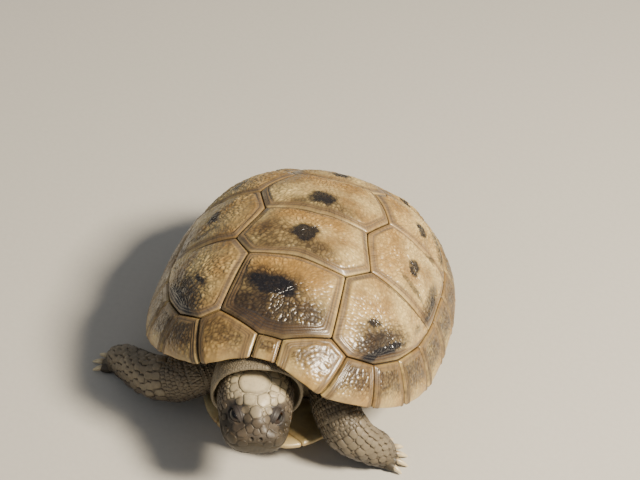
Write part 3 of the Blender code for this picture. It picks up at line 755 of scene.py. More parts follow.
def rim_reach(bearing):
    return np.arcsin(1 - NOTCH_DEPTH * over_neck(bearing)) * 2 / np.pi


def rim_inward(bearing):
    run = dome(spot(bearing + 1.0, 1.0)) - dome(spot(bearing - 1.0, 1.0))
    run[..., 2] = 0.0
    return np.cross(UPWARD, unit(run))


def under_rim(bearing, share):
    """The marginals' underside, from the edge (0) to its inner margin (1)."""
    edge = dome(spot(bearing, rim_reach(bearing)))
    bridge = ramp(edge[..., 1], BRIDGE_FROM - BRIDGE_EASE, BRIDGE_FROM + BRIDGE_EASE)
    bridge = bridge * (1 - ramp(edge[..., 1], BRIDGE_TO - BRIDGE_EASE, BRIDGE_TO + BRIDGE_EASE))
    tuck = RIM_TUCK * (1 - NECK_TUCK_LOSS * over_neck(bearing))
    drop = BRIDGE_DROP * bridge * share**0.8
    return edge + rim_inward(bearing) * (tuck * share)[..., None] - drop[..., None] * UPWARD


def along_line(places, shares):
    """Places at shares of the way along a broken line."""
    places = np.array(places)
    lengths = np.concatenate([[0], np.cumsum(np.linalg.norm(np.diff(places, axis=0), axis=1))])
    wanted = np.asarray(shares) * lengths[-1]
    return np.stack([np.interp(wanted, lengths, places[:, i]) for i in (0, 1)], axis=-1)


def rim_plate(name, tops, first, last, seed, wedge=0.85):
    """A marginal as a grid of columns along the rim and rows from its top seam over the edge and under."""
    width = np.linalg.norm(dome(spot(first, 0.85)) - dome(spot(last, 0.85)))
    columns = max(int(width / POINT_STEP), 12)
    margin = SEAM_HALF / width
    shares = margin + (1 - 2 * margin) * np.linspace(0, 1, columns + 1)
    bearings = first + (last - first) * shares
    top = along_line(tops, shares)
    edge = spot(bearings, rim_reach(bearings))
    fall = np.linalg.norm(dome(top) - dome(edge), axis=-1).mean()
    rows_out = max(int(fall / POINT_STEP), 14)
    down = np.linspace(SEAM_HALF / fall, 1, rows_out + 1)
    grid = [dome(top + (edge - top) * part) for part in down]
    grid += [under_rim(bearings, part) for part in np.linspace(0, 1, ROWS_UNDER + 1)[1:] ** 1.2]
    grid = np.array(grid)
    for _ in range(RIM_ROUNDING):
        middle = (grid[:-2] + 2 * grid[1:-1] + grid[2:]) / 4
        near = np.exp(-(((np.arange(1, len(grid) - 1) - rows_out) / 4.0) ** 2))[:, None, None]
        grid[1:-1] = grid[1:-1] * (1 - near) + middle * near
    along = np.gradient(grid, axis=1)
    across = np.gradient(grid, axis=0)
    facing = unit(np.cross(along, across))
    if facing[0, columns // 2, 2] < 0:
        facing = -facing
    steps = np.linalg.norm(np.diff(grid, axis=0), axis=-1)
    from_top = SEAM_HALF + np.concatenate([np.zeros((1, columns + 1)), np.cumsum(steps, axis=0)])
    run = np.linalg.norm(np.diff(grid, axis=1), axis=-1)
    from_first = SEAM_HALF + np.concatenate([np.zeros((len(grid), 1)), np.cumsum(run, axis=1)], axis=1)
    from_last = from_first[:, -1:] + SEAM_HALF - from_first
    past_edge = from_top - from_top[rows_out]
    depth = np.minimum(np.minimum(from_top, from_first), from_last)
    nearness = sum(np.exp(-away / CORNER_ROUNDING) for away in (from_top, from_first, from_last))
    blend = -np.log(nearness) * CORNER_ROUNDING
    depth = np.where(depth < 0.6, depth, np.minimum(depth, np.maximum(blend, 0.6)))
    growth = np.clip(width * 0.17, 0.35, 1.0) * (1 + 0.6 * ramp(from_last, width * 0.7, width * 0.95))
    inside = ramp(depth - growth, *AREOLA_EDGE)
    under = ramp(past_edge, 0.0, 0.5)
    wobble = drift(grid, 2.0, seed) * 0.08
    turns = 2 * np.pi * (depth + wobble - 0.28) / (RIDGE_PITCH * RIM_RELIEF)
    ridge = (0.5 - 0.5 * np.cos(turns)) ** RIDGE_POWER
    ridge = ridge * ramp(depth, 0.24, 0.36) * (1 - inside) * (1 - 0.5 * under)
    pebble = grains(grid, PEBBLE * RIM_PEBBLE, seed)
    lip = 1 - np.exp(-((past_edge / 0.9) ** 2))
    rough_zone = inside * (1 - under) * lip
    height = -SEAM_DROP * np.clip(1 - depth / SEAM_SHOULDER, 0, 1) ** 2
    height += 0.06 * ramp(depth, 0.2, 1.0) + ridge * RIDGE_HEIGHT
    height += rough_zone * AREOLA_RISE * RIM_RELIEF + rough_zone * (pebble - 0.5) * PEBBLE_HEIGHT * RIM_RELIEF
    height += 0.05 * drift(grid, 1.5, seed + 7) * ramp(depth, 0.3, 1.0)
    outer = grid + facing * height[..., None]
    share_down = from_top / from_top[rows_out]
    front = 1 - ramp(from_first, width * 0.10, width * 0.34)
    darkness = wedge * front * ramp(share_down, 0.02, 0.2) * (1 - ramp(share_down, 0.70, 0.96))
    cloudy = 0.25 * inside * ramp(share_down, 0.1, 0.35) * (1 - ramp(share_down, 0.55, 0.82))
    darkness = np.maximum(darkness, cloudy)
    # a darker band across the areola, partly brown stain and partly painted shade
    dusk = inside * ramp(share_down, 0.02, 0.22) * (1 - ramp(share_down, 0.5, 0.85))
    dusk = dusk * (0.8 + 0.2 * drift(grid, 1.5, seed))
    warmth = ramp(from_first / width, 0.35, 0.8) * (1 - under) * 0.75
    thickness = RIM_THICKNESS * (1 - 0.45 * over_neck(bearings))
    inner = []
    for row in (0, int(rows_out * KNEE_AT), len(grid) - 1):
        inner.append(grid[row] - facing[row] * thickness[:, None])
    inner[0] = inner[0] * 0.97 + inner[1] * 0.03
    every = np.concatenate([outer.reshape(-1, 3), np.concatenate(inner)])
    line = columns + 1
    rows = len(grid)
    around = np.stack([from_first, np.zeros_like(from_first), from_top], axis=-1)
    values = horn_values(
        3 * line, around, growth=np.clip(depth / growth, 0, 1), seam=np.clip(depth, 0, 2), ridge=ridge,
        pebble=pebble * rough_zone + (1 - rough_zone) * 0.5, bare=inside, dark=darkness, warm=warmth,
        dusk=dusk * (0.75 if wedge < 0.5 else 1.0),
    )
    index = np.arange(columns)
    faces = []
    for a in range(0, (rows - 1) * line, line):
        faces += facets(a + index, a + index + 1, a + line + index + 1, a + line + index)
    knees = [(rows + row) * line for row in range(3)]
    for a, b in ((knees[0], knees[1]), (knees[1], knees[2])):
        faces += facets(a + index, b + index, b + index + 1, a + index + 1)
    last = (rows - 1) * line
    faces += facets(index, knees[0] + index, knees[0] + index + 1, index + 1)
    faces += facets(last + index, last + index + 1, knees[2] + index + 1, knees[2] + index)
    for column in (0, columns):
        border = [row * line + column for row in range(rows)]
        border += [knee + column for knee in knees[::-1]]
        faces.append(border if column == 0 else border[::-1])
    made = make_piece(name, every, facing_out(every, faces, facing[0, 0]), rim_horn, values)
    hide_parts(name)


rim_horn = horn("rim_keratin", "#c8ae70", "#8a6e44", "#9d783e", "#60503b", "#291e15", "#271c16")

for number, names in enumerate(MARGINAL_TOPS, 1):
    first, last = RIM_SEAMS[number - 1 : number + 1]
    wedge = 0.12 if number == 1 else 0.5
    for side, side_name, seed in ((1, "left", 60 + number), (-1, "right", 80 + number)):
        tops = [corner(n, side) for n in names]
        rim_plate(f"marginal_{side_name}_{number}", tops, first * side, last * side, seed, wedge)
rim_plate("nuchal", [corner("nuchal", -1), corner("nuchal")], -RIM_SEAMS[0], RIM_SEAMS[0], 95, 0.15)
tail_top = [corner("m11_tail"), corner("m11_tail", -1)]
rim_plate("supracaudal", tail_top, RIM_SEAMS[-1], 360.0 - RIM_SEAMS[-1], 96, 0.0)

# ------------------------ bone under the plates
# The bony dome that carries the horn. Only a dark line of it shows, at the bottom of each seam, and its inner
# face shows in the openings for the head and legs.

BONE_TOP = 0.74
BONE_DEPTH = 1.15
bone = Finish("young_shell_bone", roughness=0.6)
porous = bone.noise(bone.place(), 1 / (0.5 * MM), 4.0)
bone.feed("Base Color", bone.mix(porous, "#2e241b", "#4b3d2e"))
bone.bump(0.5, 0.05 * MM, porous)

bearings = np.arange(0, 360, 3.0)
rings = []
for depth, reaches in ((BONE_TOP, np.linspace(0.06, 0.93, 24)), (BONE_DEPTH, np.linspace(0.93, 0.06, 24))):
    for reach in reaches:
        places = spot(bearings, reach * rim_reach((bearings + 180) % 360 - 180))
        rings.append(dome(places) - dome_normal(places) * depth)
rings = np.array(rings)
count = len(bearings)
top_place = np.array([[0.0, 0.0]])
ends = [dome(top_place) - dome_normal(top_place) * depth for depth in (BONE_TOP, BONE_DEPTH)]
every = np.concatenate([rings.reshape(-1, 3), *ends])
index, after = round_ring(count)
last = len(rings) * count - count
faces = facets(len(every) - 2, after, index)
for a in range(0, last, count):
    faces += facets(a + after, a + count + after, a + count + index, a + index)
faces += facets(last + after, len(every) - 1, last + index)
faces = facing_out(every, faces, dome_normal(spot(bearings[5:6], 0.1))[0], count + 5)
make_piece("carapace_bone", every, faces, bone)

# ------------------------ plastron
# Twelve flat plates under the body, pale with a dark cloud in each, ringed by growth along every seam. They
# climb at the sides across the bridge to meet the marginals.

BELLY_HEIGHT = 2.3
BELLY_SLOPE = 0.052
LOBE_HALF_WIDTH = 11.6
LOBE_HALF_LENGTH = 23.0
LOBE_MIDDLE_Y = -0.6
LOBE_POWER = 3.2
BRIDGE_INNER = 12.0
ANAL_NOTCH = 2.4
SEAM_GAP = 0.3
PLASTRON_SEAMS = (
    ("gular", -23.2, 0.4),
    ("humeral", -18.6, -2.9),
    ("pectoral", -11.6, 0.6),
    ("abdominal", -8.2, 2.4),
    ("femoral", 8.4, 2.8),
    ("anal", 15.4, 2.4),
    ("end", 22.0 - ANAL_NOTCH, ANAL_NOTCH),
)


def plastron_half_width(y):
    """Two round lobes, and between them the bridges that reach out to the marginals."""
    rim_x = SHELL_HALF_WIDTH * (1 - np.abs(y / SHELL_HALF_LENGTH) ** RIM_POWER) ** (1 / RIM_POWER)
    share = np.minimum(np.abs(y - LOBE_MIDDLE_Y) / LOBE_HALF_LENGTH, 0.999)
    lobe = LOBE_HALF_WIDTH * (1 - share**LOBE_POWER) ** (1 / 2.2)
    rise = ramp(y, BRIDGE_FROM - BRIDGE_EASE / 2, BRIDGE_FROM + BRIDGE_EASE / 2)
    bridge = rise * (1 - ramp(y, BRIDGE_TO - BRIDGE_EASE / 2, BRIDGE_TO + BRIDGE_EASE / 2))
    return lobe + (rim_x - RIM_TUCK - SEAM_GAP - lobe) * bridge


def belly(places):
    flat = BELLY_HEIGHT - BELLY_SLOPE * places[..., 1]
    climb = ramp(np.abs(places[..., 0]), BRIDGE_INNER, SHELL_HALF_WIDTH - RIM_TUCK + 2.5)
    height = flat + (RIM_SIDE_HEIGHT - BRIDGE_DROP * 0.4 - flat) * climb
    return np.concatenate([places, height[..., None]], axis=-1)


def belly_normal(places):
    step = 0.1
    across = belly(places + (step, 0)) - belly(places - (step, 0))
    along = belly(places + (0, step)) - belly(places - (0, step))
    return unit(np.cross(along, across))


def seam_line(seam, side, shares):
    """Places along a seam that crosses the plastron, at shares of the way out from the midline."""
    y = seam[1] + seam[2] * shares
    return list(zip(plastron_half_width(y) * shares * side + SEAM_HALF * side, y))


belly_horn = horn("plastron_keratin", "#d0bf8e", "#ad925f", "#a98143", "#85704f", "#3b2d1b", "#241e1a")

for number, (front, rear) in enumerate(zip(PLASTRON_SEAMS, PLASTRON_SEAMS[1:])):
    for side, side_name in ((1, "left"), (-1, "right")):
        way_out = np.linspace(0, 1, 6)
        way_back = np.linspace(0, 1, 10)[1:-1]
        y = front[1] + front[2] + (rear[1] + rear[2] - front[1] - front[2]) * way_back
        flank = list(zip(plastron_half_width(y) * side, y))
        outline = seam_line(front, side, way_out) + flank + seam_line(rear, side, way_out[::-1])
        centre = np.array(outline).mean(axis=0)
        rough = np.ptp(np.array(outline), axis=0) / 2
        mark = [(centre + np.array([0.0, 0.3]), rough[0] * 0.55, rough[1] * 0.5, 0.62)]
        ring_plate(
            f"{front[0]}_{side_name}",
            outline,
            centre,
            lambda way: np.full(way.shape[:-1], 0.9),
            mark,
            lambda p: np.zeros(p.shape[:-1]) + 0.2,
            belly,
            belly_normal,
            belly_horn,
            seed=100 + number * 2 + (side > 0),
            pebbling=0.3,
        )

# ------------------------ skin
# One skin over head, neck, legs, tail and the body inside the shell. It is leathery, grey-brown, loose in
# folds where it bends, and rolled in a collar behind the head. It is drawn as tubes and joined into one.

COAT_DEPTH = 0.22  # the scales' thickness, which the skin leaves free under the solid's outline
HEAD_MIDDLE = np.array([0.1, -26.5, 13.2])
HEAD_TURN = math.radians(17.0)
HEAD_PITCH = math.radians(12.0)
HEAD_FORWARD = np.array([
    math.sin(HEAD_TURN) * math.cos(HEAD_PITCH),
    -math.cos(HEAD_TURN) * math.cos(HEAD_PITCH),
    -math.sin(HEAD_PITCH),
])
HEAD_LEFT = np.array([math.cos(HEAD_TURN), math.sin(HEAD_TURN), 0.0])
HEAD_TOP = -np.cross(HEAD_LEFT, HEAD_FORWARD)
HEAD_AXES = np.stack([HEAD_FORWARD, HEAD_LEFT, HEAD_TOP])
EYE_RADIUS = 1.5
EYE_PLACE = np.array([1.95, 2.1, 1.4])


def on_head(places):
    """Points from (along, across, up) about the head's middle."""
    return HEAD_MIDDLE + np.asarray(places) @ HEAD_AXES


def about_head(points):
    return (points - HEAD_MIDDLE) @ HEAD_AXES.T


def smooth_rows(rows, steps):
    """Catmull-Rom rows through the given ones, with the given count between each two."""
    rows = np.array(rows, dtype=float)
    padded = np.concatenate([[2 * rows[0] - rows[1]], rows, [2 * rows[-1] - rows[-2]]])
    made = []
    for i, count in enumerate(steps):
        a, b, c, d = padded[i : i + 4]
        t = (np.arange(count) / count)[:, None]
        bend, twist = 2 * a - 5 * b + 4 * c - d, 3 * b - a - 3 * c + d
        made.append(0.5 * (2 * b + (c - a) * t + bend * t**2 + twist * t**3))
    return np.concatenate([*made, rows[-1:]])


def tube(rings):
    """Faces of a closed tube through rings of points, with a middle point at each end."""
    rows, count = rings.shape[:2]
    points = np.concatenate([rings.reshape(-1, 3), rings[[0, -1]].mean(axis=1)])
    index, after = round_ring(count)
    hub = rows * count
    last = hub - count
    faces = tube_sides(0, rows, count)
    faces += facets(index, hub, after)
    faces += facets(last + index, last + after, hub + 1)
    return points, faces


def body_part(name, rings, number):
    """A closed tube as a loose object, its faces outward, ready to be joined into the skin. Each point keeps
    its part's number, the number of its ring and its turn round the tube."""
    points, faces = tube(rings)
    rows, count = rings.shape[:2]
    along = np.concatenate([np.repeat(np.arange(rows), count), [0, rows - 1]])
    turns = np.concatenate([np.tile(np.arange(count) / count, rows), [0, 0]])
    kept = np.stack([np.full(len(points), float(number)), along, turns], axis=1)
    mesh = mesh_of(name, points, faces, {"origin": kept})
    build = bmesh.new()
    build.from_mesh(mesh)
    if build.calc_volume(signed=True) < 0:
        bmesh.ops.reverse_faces(build, faces=build.faces)
    build.to_mesh(mesh)
    build.free()
    return linked(name, mesh)


def oval(middles, across, up, wide, above, below, count, power):
    """Rings round middle points, each with its own half width and height above and below."""
    angle = np.arange(count) / count * 2 * np.pi
    c = np.cos(angle)
    s = np.sin(angle)
    x = wide[:, None] * (np.sign(c) * np.abs(c) ** (2 / power))
    z = np.where(s[None] > 0, above[:, None], below[:, None]) * (np.sign(s) * np.abs(s) ** (2 / power))
    return middles[:, None] + across[:, None] * x[..., None] + up[:, None] * z[..., None]


# Neck root, collar of loose skin, fold, head and snout: along the head, half width, height above and below
HOOD_ROWS = (
    (-7.1, 5.0, 5.4, 5.0),
    (-4.8, 6.1, 6.4, 6.0),
    (-2.9, 6.3, 6.55, 6.1),
    (-2.2, 6.05, 6.25, 5.85),
    (-2.5, 5.7, 5.85, 5.45),
    (-3.7, 5.7, 5.15, 4.85),
    (-5.2, 5.2, 4.5, 4.2),
    (-6.3, 4.4, 3.85, 3.65),
    (-6.8, 3.9, 3.2, 3.1),
)
HEAD_ROWS = (
    (-6.0, 3.8, 2.75, 2.8),
    (-4.6, 4.65, 3.6, 3.55),
    (-2.9, 5.05, 4.0, 3.95),
    (-0.8, 5.0, 4.05, 3.95),
    (1.2, 4.82, 3.9, 3.75),
    (2.8, 4.55, 3.45, 3.5),
    (4.2, 4.1, 2.75, 3.1),
    (5.1, 3.45, 2.15, 2.65),
    (5.62, 2.6, 1.6, 2.1),
    (5.82, 1.45, 0.9, 1.3),
)
HOOD_SWAY = 0.2  # how far the hood's edge lies to the left of the head
HOOD_EASE = 2.4  # over which it sways there
NECK_ROOT = ((-13.0, 3.7, 3.9), (-17.0, 4.1, 4.3))  # y, half width and half height
NECK_FRONT = -14.0
NECK_REACH = 6.0
NECK_HEIGHT = 11.2
NECK_RISE = 1.6
HEAD_POWER = 2.3  # how square the head's section is
LIMB_POWER = 2.2
HEAD_AROUND = 264
HEAD_STEPS = (6, 8, 10, 14, 8, 5, 6, 5, 4, 4, 5, 14, 16, 20, 18, 15, 14, 11, 9, 6)
FIRST_HEAD_RING = 75  # the ring where the head leaves the fold


def head_tube():
    """Rings of the neck, hood and head, each row a middle, two axes and its half width and heights."""
    rows = []
    for y, wide, high in NECK_ROOT:
        share = (y - NECK_FRONT) / -NECK_REACH
        rows.append([0.0, y, NECK_HEIGHT + NECK_RISE * share, 1, 0, 0, 0, 0, 1, wide, high, high])
    for number, (along, wide, above, below) in enumerate(HOOD_ROWS + HEAD_ROWS):
        eased = min((along - HOOD_ROWS[0][0]) / HOOD_EASE, 1.0) if number < len(HOOD_ROWS) else 0.0
        middle = on_head([along, max(HOOD_SWAY * eased, 0.0), 0])
        rows.append([*middle, *HEAD_LEFT, *HEAD_TOP, wide, above, below])
    rows = smooth_rows(rows, HEAD_STEPS)
    middles, across, up = rows[:, :3], unit(rows[:, 3:6]), unit(rows[:, 6:9])
    return oval(middles, across, up, rows[:, 9], rows[:, 10], rows[:, 11], HEAD_AROUND, HEAD_POWER)


# Limbs and tail: middle of each section from root to end, half width, half height
FORELEG_LEFT = (
    ((7.8, -13.0, 9.4), 3.5, 3.7),
    ((9.6, -17.0, 8.6), 3.4, 3.6),
    ((11.2, -18.8, 7.3), 3.1, 3.3),
    ((13.2, -18.8, 5.5), 2.8, 2.95),
    ((15.1, -17.7, 3.7), 2.5, 2.65),
    ((16.5, -16.6, 2.3), 2.4, 2.3),
    ((17.7, -15.8, 1.5), 1.8, 1.55),
    ((18.5, -15.3, 1.2), 0.7, 0.8),
)
FORELEG_RIGHT = (
    ((8.6, -13.0, 9.0), 3.4, 3.6),
    ((10.9, -17.2, 8.3), 3.3, 3.5),
    ((14.0, -18.4, 6.9), 3.1, 3.3),
    ((17.6, -17.0, 5.2), 2.9, 3.0),
    ((20.9, -14.4, 3.6), 2.6, 2.7),
    ((23.1, -12.4, 2.3), 2.4, 2.3),
    ((24.6, -11.2, 1.5), 1.8, 1.6),
    ((25.3, -10.7, 1.2), 0.7, 0.8),
)
HINDLEG = (
    ((8.2, 13.2, 8.8), 3.4, 3.5),
    ((9.6, 17.0, 7.9), 3.2, 3.3),
    ((11.6, 18.6, 6.2), 3.0, 3.1),
    ((13.0, 19.0, 4.3), 2.7, 2.9),
    ((13.7, 18.7, 2.4), 2.7, 2.7),
    ((13.9, 18.4, 1.0), 2.6, 2.5),
    ((13.9, 18.3, 0.4), 1.6, 1.6),
)
TAIL = (
    ((0.0, 13.4, 5.8), 2.3, 2.2),
    ((0.2, 17.5, 5.2), 1.9, 1.8),
    ((0.7, 20.5, 4.5), 1.35, 1.35),
    ((1.4, 23.0, 3.9), 0.85, 0.85),
    ((2.2, 24.8, 3.5), 0.3, 0.3),
)
LEG_AROUND = 96
TAIL_AROUND = 48
RING_SPACING = 0.2
FLAT_FROM = 0.35  # below this height a foot or limb flattens against the ground
FLAT_LEFT = 0.02
FLAT_SOFT = 0.33


def leg_tube(stations, side, around=LEG_AROUND):
    rows = np.array([[p[0] * side, p[1], p[2], wide, high] for p, wide, high in stations])
    gaps = np.linalg.norm(np.diff(rows[:, :3], axis=0), axis=1)
    rows = smooth_rows(rows, [max(3, int(gap / RING_SPACING)) for gap in gaps])
    middles = rows[:, :3]
    way = unit(np.gradient(middles, axis=0))
    across = unit(np.cross(way, UPWARD))
    up = np.cross(across, way)
    rings = oval(middles, across, up, rows[:, 3], rows[:, 4], rows[:, 4], around, LIMB_POWER)
    height = rings[..., 2]
    pressed = FLAT_LEFT + FLAT_SOFT * np.exp((height - FLAT_FROM) / FLAT_SOFT)
    rings[..., 2] = np.where(height < FLAT_FROM, pressed, height)
    return rings


CLAW_LENGTH = 4.4  # from toe to tip, in claw sizes
TIP_HEIGHT = 0.28


def fan(wrist, toward, reach, spread, count, size):
    """Where each claw leaves its toe and where its tip lies."""
    heading = math.atan2(toward[1], toward[0])
    made = []
    for i in range(count):
        angle = heading + math.radians(spread) * (i / (count - 1) - 0.5)
        way = np.array([math.cos(angle), math.sin(angle), 0.0])
        tip = np.array([*wrist, 0.0]) + way * reach
        root = tip - way * size * CLAW_LENGTH
        tip[2] = TIP_HEIGHT
        root[2] = size * 1.05 + 0.2
        made.append((root, tip, way))
    return made


# Limb, its sections and side; wrist or ankle, the way its toes point, their reach and spread, count and size
FEET = (
    ("foreleg_left", FORELEG_LEFT, 1, (15.1, -16.9), (0.92, 0.38), 6.0, 75.0, 5, 0.62),
    ("foreleg_right", FORELEG_RIGHT, -1, (-22.4, -12.6), (-0.86, 0.34), 5.6, 80.0, 5, 0.62),
    ("hindleg_left", HINDLEG, 1, (13.9, 18.3), (0.62, -0.78), 4.0, 84.0, 4, 0.6),
    ("hindleg_right", HINDLEG, -1, (-13.9, 18.3), (-0.62, -0.78), 4.0, 84.0, 4, 0.6),
)

TOE_ROWS = 14
TOE_AROUND = 28
TOE_HALF_LENGTH = 2.1  # in claw sizes
TOE_HALF_WIDTH = 1.25
LOWEST = 0.03  # the least height of anything that touches the ground


def toe(root, way, size):
    """A blunt lobe of skin that the claw grows from."""
    turns = np.linspace(0.08, 0.96, TOE_ROWS) * np.pi
    across = np.tile(np.cross(way, UPWARD), (TOE_ROWS, 1))
    heart = root + way * size * 0.2
    middles = heart - np.cos(turns)[:, None] * way * size * TOE_HALF_LENGTH
    wide = np.sin(turns) * size * TOE_HALF_WIDTH
    rings = oval(middles, across, np.tile(UPWARD, (TOE_ROWS, 1)), wide, wide, wide, TOE_AROUND, 2.0)
    rings[..., 2] = np.maximum(rings[..., 2], LOWEST)
    return rings


TRUNK_INSET = 2.25  # from the shell's surface in to the body
TRUNK_FLANKS = ((9.6, 0.78), (8.2, 0.75), (6.9, 0.68))  # height, share of the way out to the rim
TRUNK_OVER_BELLY = 1.1 + 0.45 + COAT_DEPTH
TRUNK_FRONT = -13.7
TRUNK_BACK = 13.9


def trunk_rings():
    """The body under the shell, from the top down over the flanks to the belly."""
    bearings = np.arange(0, 360, 4.0)
    rings = []
    for reach in np.linspace(0.03, 0.7, 20):
        places = spot(bearings, reach)
        rings.append(dome(places) - dome_normal(places) * TRUNK_INSET)
    rim = dome(spot(bearings, 1.0))
    for height, share in TRUNK_FLANKS:
        rings.append(np.stack([rim[:, 0] * share, rim[:, 1] * share, np.full(len(rim), height)], axis=1))
    for share in (0.5, 0.3, 0.1):
        low = belly(rim[:, :2] * share)
        low[:, 2] += TRUNK_OVER_BELLY
        rings.append(low)
    rings = np.array(rings)
    rings[..., 1] = np.clip(rings[..., 1], TRUNK_FRONT, TRUNK_BACK)
    return rings


def joined(name, first, others):
    """The union of closed objects, as one mesh. The loose objects go."""
    for other in others:
        cut = first.modifiers.new(other.name, "BOOLEAN")
        cut.operation = "UNION"
        cut.object = other
        cut.solver = "MANIFOLD"
    graph = bpy.context.evaluated_depsgraph_get()
    mesh = bpy.data.meshes.new_from_object(first.evaluated_get(graph))
    mesh.name = name
    for used in [first, *others]:
        data = used.data
        bpy.data.objects.remove(used)
        bpy.data.meshes.remove(data)
    return mesh


head_rings = head_tube()
HEAD_NUMBER = 1
TAIL_NUMBER = 2
LEG_NUMBER = 3  # and the next three
TOE_NUMBER = 10
part_rings = {HEAD_NUMBER: head_rings, TAIL_NUMBER: leg_tube(TAIL, 1, TAIL_AROUND)}
for leg_number, (_, stations, side, *_) in enumerate(FEET):
    part_rings[LEG_NUMBER + leg_number] = leg_tube(stations, side)
parts = [body_part(f"part_{number}", rings, number) for number, rings in part_rings.items()]
for leg_number, (name, _, _, *plan) in enumerate(FEET):
    for number, (root, _, way) in enumerate(fan(*plan)):
        parts.append(body_part(f"{name}_toe_{number}", toe(root, way, plan[-1]), TOE_NUMBER + leg_number))
skin_mesh = joined("skin", body_part("trunk_part", trunk_rings(), 0), parts)

# ------------------------ head, lids and folds of the skin
# The skull shows through the skin of the head: a flat brow, hollow orbits, cheeks and a mouth line. Lids wrap
# the eyeballs, and the loose skin of the neck and limbs lies in creases.

# Everything on the head is given as (along, across, up) from its middle.
EYE_AXIS = unit(np.array([0.38, 0.74, 0.55]))
SLIT_LIE = (0.87, -0.49, -0.1)
SLIT_HALF_LENGTH = 2.3
SLIT_BACK = 0.2  # how far its middle lies behind the eye's axis
SLIT_ABOVE = 0.52
SLIT_BELOW = 0.5
LID_THICKNESS = 0.17
LID_FOLD = 0.016
LID_FOLD_PITCH = 0.3
LID_EDGE = 0.07
LID_CORNER = 0.12
LID_TUCK = 0.22  # how far the skin sinks under the eyeball's surface where the lids part
ORBIT_HOLLOW = 1.0
BROW = 0.22
PLATE_STEP = 0.2  # how far the crown's plated middle stands up, and forward
PLATE_FORWARD = 0.12
FRONT_SEAM = 0.14  # creases in front of the frontal plate and of the prefrontals
MUZZLE_SEAM = 0.12
MOUTH_HEIGHT = -1.6
MOUTH_DEPTH = 0.26
JAW_INSET = 0.2
NOSTRIL_ACROSS = 0.58
NOSTRIL_UP = 1.5
NOSTRIL_DEPTH = 0.42
NOSTRIL_RIM = 0.07
EARDRUM = (-2.6, -0.3)
EARDRUM_DEPTH = 0.2
EARDRUM_RIM = 0.08


def swell(value, middle, width):
    return np.exp(-(((value - middle) / width) ** 2))


def eye_frame(side):
    """The eye's middle, the way it looks, the line of its slit and the way up across the lids."""
    mirror = np.array([1.0, side, 1.0])
    axis = EYE_AXIS * mirror
    lie = SLIT_LIE * mirror
    slit = unit(lie - axis * (lie @ axis))
    above = np.cross(axis, slit) * side
    return EYE_PLACE * mirror, axis, slit, above


def mouth_line(out):
    """Height of the mouth, with the small hook of the beak at its middle."""
    return MOUTH_HEIGHT - 0.22 * np.exp(-((out / 0.8) ** 2)) + 0.03 * out**2


def shaped_head(places):
    """Head points, as (along, across, up), moved from the plain oval tube to the head's own form."""
    along, across, up = places.T
    out = np.abs(across)
    side = np.sign(across)
    moved = places.copy()
    hollow = ORBIT_HOLLOW * swell(along, 2.5, 1.7) * swell(up, 1.9, 1.45) * ramp(out, 0.6, 2.2)
    moved[:, 1] -= side * hollow
    moved[:, 2] += BROW * swell(along, 0.9, 1.5) * swell(out, 2.4, 0.6) * ramp(up, 1.6, 2.8)
    plated = ramp(-out, -1.95, -1.35) * ramp(along, -0.3, 0.1) * ramp(-along, -4.6, -3.9) * ramp(up, 1.2, 2.4)
    moved[:, 2] += PLATE_STEP * plated
    moved[:, 0] += PLATE_FORWARD * plated
    moved[:, 2] -= FRONT_SEAM * swell(along, -0.25, 0.16) * ramp(up, 2.2, 3.0) * ramp(-out, -2.9, -2.3)
    moved[:, 2] -= MUZZLE_SEAM * swell(along, 2.0, 0.13) * ramp(up, 1.8, 2.6) * ramp(-out, -1.5, -1.0)
    ahead = np.maximum(along - 1.5, 0) * 0.6
    inward = -unit(np.stack([ahead, across, np.zeros(len(along))], axis=1) + 1e-6)
    mouth = swell(up, mouth_line(out), 0.15) * ramp(along, -1.2, 0.0)
    jaw = ramp(-up, 1.7, 2.05) * ramp(along, -1.5, 2.5)
    moved += inward * (MOUTH_DEPTH * mouth + JAW_INSET * jaw)[:, None]
    from_nostril = np.hypot(out - NOSTRIL_ACROSS, up - NOSTRIL_UP)
    tip = ramp(along, 4.4, 4.9)
    nostril = swell(from_nostril, 0.0, 0.2) * tip
    moved[:, 0] -= NOSTRIL_DEPTH * nostril
    rim = swell(from_nostril, 0.32, 0.13) * tip
    moved[:, 0] += NOSTRIL_RIM * rim
    drum = np.hypot(along - EARDRUM[0], up - EARDRUM[1])
    sunk = EARDRUM_DEPTH * ramp(-drum, -1.0, -0.7) - EARDRUM_RIM * swell(drum, 1.1, 0.16)
    moved[:, 1] -= side * sunk * ramp(out, 3.0, 4.0)
    return moved


